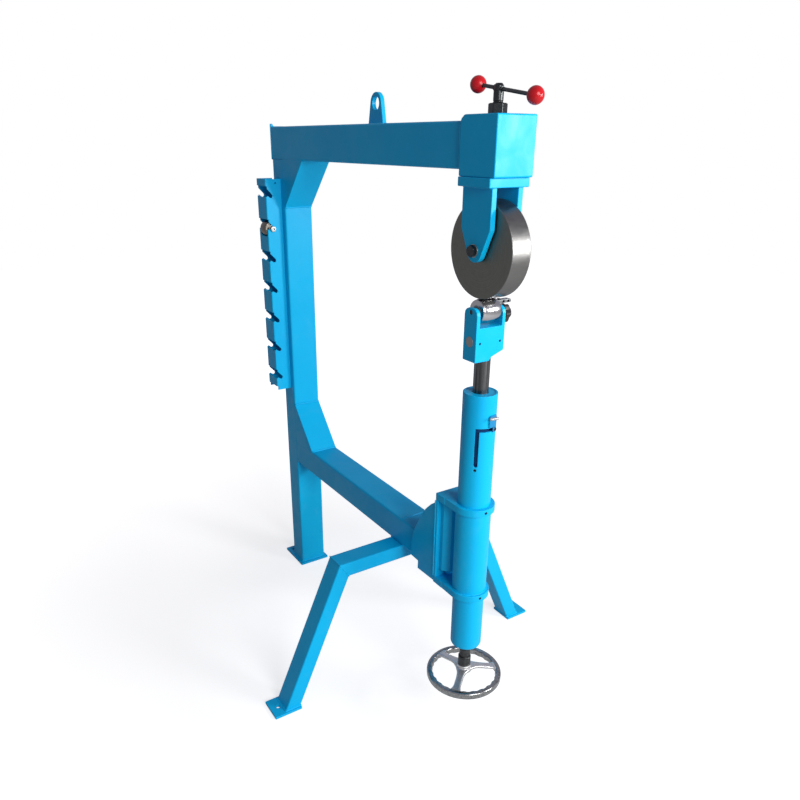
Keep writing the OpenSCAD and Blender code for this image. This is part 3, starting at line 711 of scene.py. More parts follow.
def spread(tree: Tree, source: Socket, low: float, high: float, a: float = 0.0, b: float = 1.0
           ) -> Socket:
    """Maps a value from low..high to a..b and holds it there beyond."""
    ends = {"From Min": low, "From Max": high, "To Min": a, "To Max": b}
    return place(tree, "MapRange", 0, {"Value": source, **ends})


def mix(tree: Tree, factor: Socket, a: Socket | Colour, b: Socket | Colour) -> Socket:
    """Blends two colours by a factor."""
    first, second = (c if isinstance(c, Socket) else (*c, 1.0) for c in (a, b))
    return place(tree, "Mix", 2, {"Factor": factor, 6: first, 7: second}, data_type="RGBA")


def noise(tree: Tree, scale: Socket | float, detail: float, distortion: float = 0.0,
          vector: Socket | None = None) -> Socket:
    """Adds noise over the piece.

    Args:
        tree: the tree.
        scale: its scale.
        detail: octaves of detail.
        distortion: how far it is bent.
        vector: coordinates; Object coordinates where none are given.

    Returns:
        The noise.
    """
    where = place(tree, "TexCoord", "Object") if vector is None else vector
    return place(tree, "TexNoise", 0, {"Vector": where, "Scale": scale, "Detail": detail,
                                       "Distortion": distortion})


class Groups:
    """Shader node groups that several finishes share; each is built once."""

    built: dict[str, Tree] = {}

    @classmethod
    def take(cls, name: str) -> Tree:
        """Gives a group by name and builds it when first asked for.

        Args:
            name: name of the group.

        Returns:
            The group's tree.
        """
        makers = {"worn_edges": cls.worn_edges, "cloud": cls.cloud, "turned": cls.turned,
                  "ground": cls.ground}
        if name not in cls.built:
            cls.built[name] = makers[name]()
        return cls.built[name]

    @staticmethod
    def opened(name: str, ins: dict[str, float], outs: dict[str, str]
               ) -> tuple[Tree, bpy.types.NodeOutputs, bpy.types.NodeInputs]:
        """Opens a group.

        Args:
            name: name of the group.
            ins: its float inputs with their values.
            outs: its outputs with their types.

        Returns:
            The tree, what its inputs give and what its outputs take.
        """
        tree = bpy.data.node_groups.new(name, "ShaderNodeTree")
        for key, value in ins.items():
            socket = tree.interface.new_socket(key, in_out="INPUT", socket_type="NodeSocketFloat")
            socket.default_value = value
        for key, kind in outs.items():
            tree.interface.new_socket(key, in_out="OUTPUT", socket_type=f"NodeSocket{kind}")
        gin, gout = tree.nodes.new("NodeGroupInput"), tree.nodes.new("NodeGroupOutput")
        return tree, gin.outputs, gout.inputs

    @classmethod
    def worn_edges(cls) -> Tree:
        """Builds the mask of worn edges, broken by noise, and the rounded edges' normal.

        Returns:
            The group's tree.
        """
        tree, gin, gout = cls.opened("worn_edges", {"Radius": 0.0015, "Scale": 60.0, "Amount": 0.5},
                                     {"Mask": "Float", "Normal": "Vector"})
        bevel = place(tree, "Bevel", 0, {"Radius": gin["Radius"]}, samples=6)
        face = place(tree, "NewGeometry", "Normal")
        turn = place(tree, "VectorMath", "Value", {0: bevel, 1: face}, operation="DOT_PRODUCT")
        patches = spread(tree, noise(tree, gin["Scale"], 4.0), 0.52, 0.66)
        mask = maths(tree, "MULTIPLY", spread(tree, turn, 0.985, 0.9), patches)
        mask = maths(tree, "MULTIPLY", mask, gin["Amount"])
        tree.links.new(mask, gout["Mask"])
        tree.links.new(bevel, gout["Normal"])
        return tree

    @classmethod
    def cloud(cls) -> Tree:
        """Builds three scales of cloudiness: for tone, for smudges and for fine relief.

        Returns:
            The group's tree.
        """
        tree, gin, gout = cls.opened("cloud", {"Broad": 4.0, "Fine": 350.0},
                                     {"Tone": "Float", "Smudge": "Float", "Skin": "Float"})
        smudge = maths(tree, "MULTIPLY", gin["Broad"], 5.0)
        tree.links.new(noise(tree, gin["Broad"], 3.0), gout["Tone"])
        tree.links.new(noise(tree, smudge, 6.0, 1.2), gout["Smudge"])
        tree.links.new(noise(tree, gin["Fine"], 2.0), gout["Skin"])
        return tree

    @classmethod
    def turned(cls) -> Tree:
        """Builds turned rings about a line: noise of the distance from it, and the distance.

        Returns:
            The group's tree.
        """
        tree, gin, gout = cls.opened(
            "turned", {"Centre X": 0.0, "Centre Y": 0.0, "Centre Z": 0.0, "Keep X": 0.0,
                       "Keep Y": 1.0, "Keep Z": 1.0, "Density": 900.0},
            {"Tone": "Float", "Radius": "Float"})
        centre, keep = (place(tree, "CombineXYZ", 0, {k: gin[f"{word} {k}"] for k in "XYZ"})
                        for word in ("Centre", "Keep"))
        where = place(tree, "TexCoord", "Object")
        arm = place(tree, "VectorMath", "Vector", {0: where, 1: centre}, operation="SUBTRACT")
        arm = place(tree, "VectorMath", "Vector", {0: arm, 1: keep}, operation="MULTIPLY")
        radius = place(tree, "VectorMath", "Value", {0: arm}, operation="LENGTH")
        along = maths(tree, "MULTIPLY", radius, gin["Density"])
        rings = place(tree, "TexNoise", 0, {"Scale": 1.0, "Detail": 3.0, "W": along},
                      noise_dimensions="1D")
        tree.links.new(rings, gout["Tone"])
        tree.links.new(radius, gout["Radius"])
        return tree

    @classmethod
    def ground(cls) -> Tree:
        """Builds grinding streaks: noise whose coordinates are stretched by three scales.

        Returns:
            The group's tree.
        """
        tree, gin, gout = cls.opened("ground", {"Scale X": 20.0, "Scale Y": 900.0,
                                                "Scale Z": 900.0}, {"Tone": "Float"})
        scale = place(tree, "CombineXYZ", 0, {k: gin[f"Scale {k}"] for k in "XYZ"})
        where = place(tree, "TexCoord", "Object")
        stretched = place(tree, "VectorMath", "Vector", {0: where, 1: scale}, operation="MULTIPLY")
        tree.links.new(noise(tree, 1.0, 3.0, vector=stretched), gout["Tone"])
        return tree


class Bench:
    """A material in the making: its tree, its shader and a few tools."""

    def __init__(self, name: str, broad: float, fine: float, edge: float, chips: float,
                 wear: float) -> None:
        """Opens a node material with its cloudiness and its worn edges.

        Args:
            name: name of the material.
            broad: scale of the cloudy tone.
            fine: scale of the fine relief.
            edge: radius by which edges look rounded, in metres.
            chips: scale of the wear along edges.
            wear: amount of it.
        """
        self.material = bpy.data.materials.new(name)
        self.material.use_nodes = True
        self.tree = self.material.node_tree
        self.shader = self.tree.nodes["Principled BSDF"]
        self.cloud = self.group("cloud", Broad=broad, Fine=fine)
        self.edge = self.group("worn_edges", Radius=edge, Scale=chips, Amount=wear)

    def group(self, name: str, **values: float) -> bpy.types.NodeOutputs:
        """Places a shared group.

        Args:
            name: name of the group.
            values: its inputs; underscores stand for spaces.

        Returns:
            The group's outputs.
        """
        node = self.tree.nodes.new("ShaderNodeGroup")
        node.node_tree = Groups.take(name)
        for key, value in values.items():
            node.inputs[key.replace("_", " ")].default_value = value
        return node.outputs

    def skin(self, tone: Socket, edge: Colour, rough: Socket, height: Socket, depth: float,
             strength: float) -> None:
        """Feeds the shader's colour, roughness and relief.

        Args:
            tone: colour of the faces.
            edge: colour of the worn edges.
            rough: roughness.
            height: height of the relief.
            depth: how high it stands, in metres.
            strength: strength of the relief.
        """
        bump = place(self.tree, "Bump", 0, {"Distance": depth, "Strength": strength,
                                            "Height": height, "Normal": self.edge["Normal"]})
        colour = mix(self.tree, self.edge["Mask"], tone, edge)
        feed(self.tree, self.shader, {"Base Color": colour, "Roughness": rough, "Normal": bump})


@dataclass(frozen=True)
class Paint:
    """Powder coat: faint orange peel, cloudy gloss, a little dust and rubbed edges."""

    name: str
    colour: Colour
    deep: Colour
    rubbed: Colour
    rough: float = 0.36
    wear: float = 0.4
    dust: float = 0.08
    peel: float = 0.00012
    sheen: float = 0.18

    def build(self) -> bpy.types.Material:
        """Builds the material.

        Returns:
            The finished material.
        """
        b = Bench(self.name, broad=2.6, fine=240.0, edge=0.0018, chips=70.0, wear=self.wear)
        tree, smudge = b.tree, b.cloud["Smudge"]
        tone = mix(tree, spread(tree, b.cloud["Tone"], 0.3, 0.7), self.deep, self.colour)
        dusty = tuple(0.25 + 0.6 * c for c in self.colour)
        tone = mix(tree, spread(tree, smudge, 0.6, 0.85, 0.0, self.dust), tone, dusty)
        rough = spread(tree, smudge, 0.3, 0.75, self.rough - 0.06, self.rough + 0.14)
        b.skin(tone, self.rubbed, rough, b.cloud["Skin"], self.peel, strength=0.5)
        feed(tree, b.shader, {"Specular IOR Level": self.sheen})
        return b.material


class Grain(Enum):
    """How a metal surface was worked: coordinates that its rings keep, or scales of streaks."""

    TURNED_X = (0.0, 1.0, 1.0)
    TURNED_Y = (1.0, 0.0, 1.0)
    RINGS_Z = (30.0, 30.0, 1500.0)
    DRAWN_Z = (160.0, 160.0, 4.0)
    CAST = ()


@dataclass(frozen=True)
class Metal:
    """A metal finish with its grain, stains, cloudy gloss and brighter edges.

    Where face_radius is set, the surface beyond it, such as the running face of a wheel, takes
    face_colour and face_rough. The dark smudges are stains, and on the hand wheel's castings they
    are also painted dark reflections.
    """

    name: str
    colour: Colour
    dark: Colour
    grain: Grain
    rough: float = 0.3
    centre: Point = (0.0, AXIS_Y, 0.0)
    density: float = 900.0
    depth: float = 0.00003
    wear: float = 0.4
    stain_and_painted_reflection: float = 0.4
    face_radius: float = 0.0
    face_colour: Colour = (0.6, 0.6, 0.6)
    face_rough: float = 0.2
    face_edge: float = 0.0004

    def build(self) -> bpy.types.Material:
        """Builds the material.

        Returns:
            The finished material.
        """
        b = Bench(self.name, broad=12.0, fine=700.0, edge=0.0008, chips=140.0, wear=self.wear)
        tree, smudge = b.tree, b.cloud["Smudge"]
        mark, radius = b.cloud["Skin"], None
        (cx, cy, cz), keys = self.centre, self.grain.value
        if self.grain in (Grain.TURNED_X, Grain.TURNED_Y):
            rings = b.group("turned", Centre_X=cx, Centre_Y=cy, Centre_Z=cz, Keep_X=keys[0],
                            Keep_Y=keys[1], Keep_Z=keys[2], Density=self.density)
            mark, radius = rings["Tone"], rings["Radius"]
        elif keys:
            mark = b.group("ground", Scale_X=keys[0], Scale_Y=keys[1], Scale_Z=keys[2])["Tone"]
        tone = mix(tree, spread(tree, mark, 0.3, 0.7), self.dark, self.colour)
        # Dark smudges: stains, and on the hand wheel's castings painted dark reflections
        tone = mix(tree, spread(tree, smudge, 0.5, 0.8, 0.0, self.stain_and_painted_reflection), tone, self.dark)
        both = maths(tree, "ADD", maths(tree, "MULTIPLY", mark, 0.5),
                     maths(tree, "MULTIPLY", smudge, 0.5))
        rough = spread(tree, both, 0.35, 0.65, self.rough - 0.06, self.rough + 0.1)
        if radius is not None and self.face_radius:
            band = spread(tree, radius, self.face_radius - self.face_edge,
                          self.face_radius + self.face_edge)
            worn = mix(tree, spread(tree, b.cloud["Tone"], 0.3, 0.7),
                       tuple(0.8 * c for c in self.face_colour), self.face_colour)
            tone = mix(tree, band, tone, worn)
            rough = maths(tree, "ADD", rough, spread(tree, band, 0.0, 1.0, 0.0,
                                                     self.face_rough - self.rough))
        bright = tuple(min(1.0, 1.3 * c + 0.1) for c in self.colour)
        b.skin(tone, bright, rough, mark, self.depth, strength=0.5)
        feed(tree, b.shader, {"Metallic": 1.0})
        return b.material


@dataclass(frozen=True)
class Plastic:
    """Moulded plastic: soft sheen, slight mottle and fine handling marks."""

    name: str
    colour: Colour
    rough: float = 0.3
    skin: float = 0.00006
    sheen: float = 0.35

    def build(self) -> bpy.types.Material:
        """Builds the material.

        Returns:
            The finished material.
        """
        b = Bench(self.name, broad=25.0, fine=900.0, edge=0.001, chips=160.0, wear=0.25)
        deep = tuple(0.75 * c for c in self.colour)
        pale = tuple(min(1.0, 0.1 + 1.1 * c) for c in self.colour)
        tone = mix(b.tree, spread(b.tree, b.cloud["Tone"], 0.3, 0.7), deep, self.colour)
        rough = spread(b.tree, b.cloud["Smudge"], 0.3, 0.7, self.rough - 0.05, self.rough + 0.12)
        b.skin(tone, pale, rough, b.cloud["Skin"], self.skin, strength=0.4)
        feed(b.tree, b.shader, {"Specular IOR Level": self.sheen})
        return b.material


class Finish(Enum):
    """Finishes of this machine, each with the record's slot that it belongs to."""

    PAINT = Slot.PAINT, Paint("azure_powder_coat", (0.003, 0.480, 0.82), (0.002, 0.416, 0.765),
                              (0.10, 0.27, 0.40))
    # Darker blue than the frame's coat: painted shade on the release lever; its rubbed edges are
    # wear
    LEVER = Slot.PAINT, Paint("lever_coat_painted_shade_and_wear", (0.02, 0.26, 0.52), (0.015, 0.21, 0.44),
                              (0.30, 0.38, 0.44), 0.34, 0.7)
    WHEEL = Slot.WHEEL, Metal("turned_wheel_steel", (0.185, 0.190, 0.160), (0.12, 0.122, 0.102),
                              Grain.TURNED_X, 0.42, (0.0, AXIS_Y, UPPER_AXLE / 1000), 800.0,
                              stain_and_painted_reflection=0.25, face_radius=0.1085, face_colour=(0.20, 0.198, 0.19),
                              face_rough=0.36)
    SPARE = Slot.WHEEL, Metal("turned_spare_steel", (0.22, 0.20, 0.17), (0.11, 0.10, 0.085),
                              Grain.TURNED_Y, 0.3, (-0.088, 0.0, 1.3245), 1200.0)
    POLISHED = Slot.POLISHED, Metal("polished_anvil_steel", (0.52, 0.52, 0.53),
                                    (0.44, 0.44, 0.45), Grain.TURNED_X, 0.16,
                                    (0.0, AXIS_Y, LOWER_AXLE / 1000), 700.0, 0.000002, stain_and_painted_reflection=0.1)
    RAM = Slot.RAM, Metal("ground_ram_steel", (0.20, 0.205, 0.205), (0.05, 0.052, 0.052),
                          Grain.DRAWN_Z, 0.30, stain_and_painted_reflection=0.35)
    BRIGHT = Slot.BRIGHT, Metal("bright_fastener_steel", (0.46, 0.46, 0.45), (0.28, 0.28, 0.27),
                                Grain.CAST, 0.36)
    STUB = Slot.BRIGHT, Metal("bright_pin_steel", (0.80, 0.80, 0.79), (0.55, 0.55, 0.54),
                              Grain.CAST, 0.30)
    KEEPER = Slot.BRIGHT, Metal("stained_keeper_steel", (0.26, 0.27, 0.275), (0.13, 0.135, 0.14),
                                Grain.CAST, 0.34)
    PIN = Slot.BRIGHT, Metal("turned_pin_steel", (0.34, 0.34, 0.33), (0.20, 0.20, 0.195),
                             Grain.TURNED_X, 0.36, (0.0, AXIS_Y, PIN_LEVEL / 1000), 1500.0)
    DARK = Slot.DARK, Metal("black_oxide", (0.080, 0.085, 0.085), (0.030, 0.033, 0.034),
                            Grain.CAST, 0.30, depth=0.00006)
    # Dark navy painted shade: the sleeve and the support ring sit deep in the column, and this
    # colour stands in for the shade seen through the J slot
    SLEEVE_PAINTED_SHADE = Slot.DARK, Metal("sleeve_steel_painted_shade", (0.016, 0.060, 0.17), (0.008, 0.035, 0.11),
                              Grain.CAST, 0.5)
    SCREW = Slot.DARK, Metal("oiled_screw_steel", (0.12, 0.125, 0.125), (0.05, 0.055, 0.055),
                             Grain.RINGS_Z, 0.36)
    # Hand wheel rim and spider: their strong dark smudges are painted dark reflections of the
    # surroundings as well as stains
    CAST = Slot.CAST, Metal("polished_cast_aluminium", (0.58, 0.59, 0.58), (0.12, 0.125, 0.12),
                            Grain.CAST, 0.16, depth=0.00012, stain_and_painted_reflection=0.9)
    SPIDER = Slot.CAST, Metal("as_cast_aluminium", (0.92, 0.92, 0.90), (0.50, 0.51, 0.50),
                              Grain.CAST, 0.34, depth=0.00010, stain_and_painted_reflection=0.6)
    BRONZE = Slot.BRONZE, Metal("machined_bronze", (0.66, 0.47, 0.22), (0.42, 0.28, 0.12),
                                Grain.RINGS_Z, 0.3)
    RED = Slot.RED, Plastic("red_ball_plastic", (0.58, 0.006, 0.012), 0.22, 0.00002)
    BLACK = Slot.BLACK, Plastic("black_knob_plastic", (0.022, 0.022, 0.024), 0.42)


class Workshop:
    """Turns surfaces into pieces, dresses them and hangs them on their bodies."""

    def __init__(self, nodes: dict[str, bpy.types.Object]) -> None:
        """Builds every finish once.

        Args:
            nodes: objects of the CAD nodes.
        """
        self.nodes = nodes
        self.free = set(nodes)
        self.finishes = {finish: finish.value[1].build() for finish in Finish}

    @staticmethod
    def shape(name: str, surfaces: Sequence[Surface]) -> bpy.types.Object:
        """Joins closed skins into one object in metres of the row frame.

        Args:
            name: name of the object.
            surfaces: its skins, in millimetres.

        Returns:
            The object.
        """
        whole = bmesh.new()
        for surface in surfaces:
            mesh = bpy.data.meshes.new("skin")
            points = surface.points / 1000.0 + np.array([0.0, AXIS_Y, 0.0])
            faces = surface.quads.tolist() + [lid.tolist() for lid in surface.lids]
            mesh.from_pydata(points.tolist(), [], faces)
            work = bmesh.new()
            work.from_mesh(mesh)
            bmesh.ops.remove_doubles(work, verts=work.verts, dist=DOUBLES)
            bmesh.ops.recalc_face_normals(work, faces=work.faces)
            work.to_mesh(mesh)
            work.free()
            whole.from_mesh(mesh)
            bpy.data.meshes.remove(mesh)
        mesh = bpy.data.meshes.new(name)
        whole.to_mesh(mesh)
        whole.free()
        obj = bpy.data.objects.new(name, mesh)
        bpy.context.scene.collection.objects.link(obj)
        return obj

    def cut(self, obj: bpy.types.Object, cutter: Surface, overlap: bool) -> None:
        """Cuts one skin out of an object.

        Args:
            obj: the object.
            cutter: the skin.
            overlap: whether the object's own skins may overlap.
        """
        tool = self.shape("cutter", [cutter])
        step = obj.modifiers.new("cut", "BOOLEAN")
        step.operation, step.solver, step.object = "DIFFERENCE", "EXACT", tool
        step.use_self = overlap
        graph = bpy.context.evaluated_depsgraph_get()
        old, obj.data = obj.data, bpy.data.meshes.new_from_object(obj.evaluated_get(graph))
        obj.modifiers.clear()
        bpy.data.meshes.remove(old)
        bpy.data.objects.remove(tool, do_unlink=True)

    def make(self, name: str, surfaces: Sequence[Surface], replaces: Sequence[str] = (),
             finish: Finish = Finish.PAINT, body: Body = Body.FRAME,
             cuts: Sequence[Surface] = (), sharp: float = 32.0) -> None:
        """Makes one piece.

        Args:
            name: name of the piece.
            surfaces: its closed skins.
            replaces: CAD nodes that it stands for.
            finish: its finish.
            body: the body that it rides on.
            cuts: skins that are cut out of it.
            sharp: edges that turn by more degrees stay sharp.
        """
        obj = self.shape(name, surfaces)
        for cutter in cuts:
            self.cut(obj, cutter, len(surfaces) > 1)
        mesh = obj.data
        mesh.name = name
        mesh.shade_smooth()
        mesh.set_sharp_from_angle(angle=math.radians(sharp))
        weigh = obj.modifiers.new("flat_faces_first", "WEIGHTED_NORMAL")
        weigh.keep_sharp = True
        mesh.materials.clear()
        mesh.materials.append(self.finishes[finish])
        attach(obj, body.value)
        if replaces:
            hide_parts(*replaces)
            self.free -= set(replaces)
        LOG.info("%s rides on %s, %d faces", name, body.value, len(mesh.polygons))

    def dress_nodes(self, subparts: Sequence[dict[str, str]]) -> None:
        """Gives each CAD node that stays the finish of its slot.

        Args:
            subparts: the record's list of nodes with their slots.
        """
        by_slot = {finish.value[0].value: finish for finish in reversed(Finish)}
        for part in subparts:
            if part["node"] in self.free:
                finish = by_slot[part["material_slot"]]
                for slot in self.nodes[part["node"]].material_slots:
                    slot.material = self.finishes[finish]
                LOG.info("node %s wears %s", part["node"], finish.name)


# Sub-assemblies


@dataclass
class FrameWork:
    """Rear post, both arms, corner gussets, end cap, lifting lug and rear foot."""

    half: float = ARM_HALF
    corner: float = 7.0
    post: Pair = (994.0, 1076.0)
    upper: Pair = ARM_LEVELS
    lower: Pair = (460.0, 548.0)
    block_rear: float = 56.5
    lower_front: float = 95.0
    arm_seam: float = 275.0
    upper_cover: Pair = (140.0, -148.0)
    lower_cover: Pair = (128.0, 146.0)
    cover_t: float = 3.0
    end_t: float = 6.0
    horn: float = 9.0
    lug_y: float = 488.0
    lug_z: float = 1689.8
    lug_r: float = 27.0
    lug_bore: float = 17.0
    lug_base: float = 37.0
    lug_half: float = 6.0
    foot_t: float = 8.0
    foot_half: float = 60.0
    foot_y: Pair = (982.0, 1129.0)
    bolt_x: float = 38.0
    bolt_y: float = 1105.0
    bolt_r: float = 6.5

    def tube(self, side: Pair, low: float, high: float, axis: Axis) -> Surface:
        """A rounded frame tube between two faces.

        Args:
            side: its extent along Y if it stands upright, or else along Z.
            low: its first face.
            high: its last face.
            axis: its direction.

        Returns:
            The surface.
        """
        wide, run = (-self.half, self.half), (low, high)
        y, z = (side, run) if axis is Axis.Z else (run, side)
        return block(wide, y, z, self.corner, 0.4, axis)

    def gusset(self, z: float, run: float, rise: float) -> Surface:
        """A folded cover of the corner between the post and an arm.

        Args:
            z: level of the arm's face.
            run: reach along the arm.
            rise: reach along the post; a negative one goes down from the arm.

        Returns:
            The surface.
        """
        y, over = self.post[0], self.cover_t
        slope = rise / run
        side = math.copysign(over, -rise)
        corners = [[y - run - over / abs(slope), z + side], [y + over, z + side],
                   [y + over, z + rise + slope * over]]
        outline = fillet(corners if rise > 0 else corners[::-1], 0.0)
        return slab(outline, -self.half, self.half, 2.5, Axis.X)

    def build(self, shop: Workshop) -> None:
        """Builds the welded frame.

        Args:
            shop: the workshop.
        """
        h, (front, rear), (u0, u1) = self.half, self.post, self.upper
        for name, surface, node in (
            ("rear_post_tube", self.tube(self.post, self.foot_t, u0, Axis.Z), "rear_post"),
            ("upper_arm_tube", self.tube(self.upper, self.block_rear, rear, Axis.Y), "upper_arm"),
            ("lower_arm_tube", self.tube(self.lower, self.lower_front, front, Axis.Y),
             "lower_arm"),
            ("upper_corner_gusset", self.gusset(u0, *self.upper_cover), "upper_gusset"),
            ("lower_corner_gusset", self.gusset(self.lower[1], *self.lower_cover),
             "lower_gusset"),
        ):
            shop.make(name, [surface], [node])
        top, peak = u1 + 1.5, u1 + self.horn
        horn = fillet([(-h, u0 - 1), (h, u0 - 1), (h, top), (11 - h, top), (8 - h, peak),
                       (-h, peak)], [3, 3, 3, 4, 3.5, 3.5], 5)
        shop.make("arm_end_plate", [slab(flipped(horn), rear, rear + self.end_t, 1.2, Axis.Y)],
                  ["arm_end_cap"])
        under = u1 - self.lug_z
        lug = np.concatenate([[[-self.lug_base, under], [self.lug_base, under]],
                              circle(self.lug_r, 25, 8, 172)])
        shop.make("lifting_eye", [pierced(lug, self.lug_bore, -self.lug_half, self.lug_half, 1.6,
                                          Axis.X, (0, self.lug_y, self.lug_z))], ["lifting_lug"])
        foot = block((-self.foot_half, self.foot_half), self.foot_y, (0, self.foot_t), 4.0, 1.0)
        holes = [lathe([(-2, self.bolt_r), (12, self.bolt_r)], origin=(x, self.bolt_y, 0),
                       count=40) for x in (-self.bolt_x, self.bolt_x)]
        shop.make("rear_foot", [foot], ["rear_foot_plate"], cuts=holes)
        self.weld(shop)

    def weld(self, shop: Workshop) -> None:
        """Lays the seams of the frame as beads.

        Args:
            shop: the workshop.
        """
        h, g = self.half - 1.0, self.half - 4.1
        (front, rear), (u0, u1), (l0, l1) = self.post, self.upper, self.lower
        toe_high, heel_high = front - self.upper_cover[0], u0 + self.upper_cover[1]
        toe_low, heel_low = front - self.lower_cover[0], l1 + self.lower_cover[1]
        seams = mirrored([(g, toe_high + 1, u0 + 3.2), (g, rear, u0 + 3.2)], 4.3)
        seams += mirrored([(g, toe_low, l1 - 3.2), (g, front + 1, l1 - 3.2), (g, front + 1, l0)],
                          4.3)
        across = ((toe_low, l1 + 0.5), (front - 0.5, heel_low), (toe_high, u0 - 0.5),
                  (front - 0.5, heel_high))
        seams += [bead([(-h, y, z), (h, y, z)], 3.0) for y, z in across]
        seams.append(bead([(5 - h, self.arm_seam, l1), (h - 5, self.arm_seam, l1)], 2.2))
        seams += [bead([(s * g, front + 2.6, a), (s * g, front + 2.6, b)], 4.3)
                  for s in (-1, 1) for a, b in ((l1, heel_low - 2), (heel_high + 2.2, u0))]
        seams += mirrored([(self.lug_half, self.lug_y - self.lug_base, u1),
                           (self.lug_half, self.lug_y + self.lug_base, u1)], 3.2)
        cap = fillet(rectangle(-h, h, u0 + 1, u1 - 1), 7, 5)
        seams.append(bead(np.insert(cap, 1, rear, axis=1), 2.8, True))
        base = fillet(rectangle(-h, h, front + 1, rear - 1), 7, 5)
        seams.append(bead(np.insert(base, 2, self.foot_t, axis=1), 3.6, True))
        shop.make("frame_weld_seams", seams, sharp=SEAM_SHARP)


@dataclass
class LegFrame:
    """Cross beam, splayed front legs and their foot plates."""

    width: float = 65.0
    depth: float = 46.0
    corner: float = 5.0
    bend: float = 267.0
    top: float = 460.0
    middle: float = 298.0
    spread: float = 466.0
    foot_t: float = 8.0
    foot_half: float = 40.0
    foot_in: float = 63.0
    foot_out: float = 25.0
    bolt_x: float = 478.0
    bolt_r: float = 6.5

    def build(self, shop: Workshop) -> None:
        """Builds the legs, whose outer faces run from the bend to the spread at the feet.

        Args:
            shop: the workshop.
        """
        slope = math.atan((self.spread - self.bend) / (self.top - self.foot_t))
        s, c = math.sin(slope), math.cos(slope)
        section = fillet(rectangle(-self.width / 2, self.width / 2, -self.depth / 2,
                                   self.depth / 2), self.corner, 6)
        inner = self.depth * (1 - s) / c
        run = self.depth * c - inner * s
        mitre = {m: ((m * self.bend, 0.0, self.top), (m * self.depth, 0.0, -run))
                 for m in (-1, 1)}
        beam = strut(section, (0, self.middle, self.top - self.depth / 2), (1, 0, 0),
                     [mitre[-1], mitre[1]])
        shop.make("front_cross_beam", [beam], ["cross_beam"])
        ground = ((0.0, 0.0, self.foot_t), (0.0, 0.0, 1.0))
        rear, front = self.middle + self.width / 2 - 0.5, self.middle - self.width / 2 + 0.5
        seams = []
        for m, node in ((-1, "left_leg"), (1, "right_leg")):
            axis = (m * (self.bend - self.depth / 2 * c), self.middle,
                    self.top - self.depth / 2 * s)
            leg = strut(section, axis, (m * s, 0, -c), [mitre[m], ground])
            shop.make(f"splayed_{node}", [leg], [node])
            x, low = m * self.bend, (m * (self.bend - run), self.top - self.depth)
            seams.append(bead([(x, front, self.top), (x, rear, self.top), (low[0], rear, low[1]),
                               (low[0], front, low[1])], 1.7, True))
            out = m * (self.bend + (self.top - self.foot_t) * s / c)
            near = out - m * self.depth / c
            seams.append(bead([(out, front, self.foot_t), (out, rear, self.foot_t),
                               (near, rear, self.foot_t), (near, front, self.foot_t)], 2.8, True))
        seams += [bead([(1 - ARM_HALF, y, self.top), (ARM_HALF - 1, y, self.top)], 3.4)
                  for y in (self.middle - self.width / 2, self.middle + self.width / 2)]
        plates = []
        for m in (-1, 1):
            outline = rectangle(*sorted((-m * self.foot_in, m * self.foot_out)), -self.foot_half,
                                self.foot_half)
            plates.append(pierced(fillet(outline, 3, 4), self.bolt_r, 0, self.foot_t, 1.0, Axis.Z,
                                  (m * self.bolt_x, self.middle, 0)))
        shop.make("front_feet", plates, ["front_foot_plates"])
        shop.make("leg_weld_seams", seams, sharp=SEAM_SHARP)


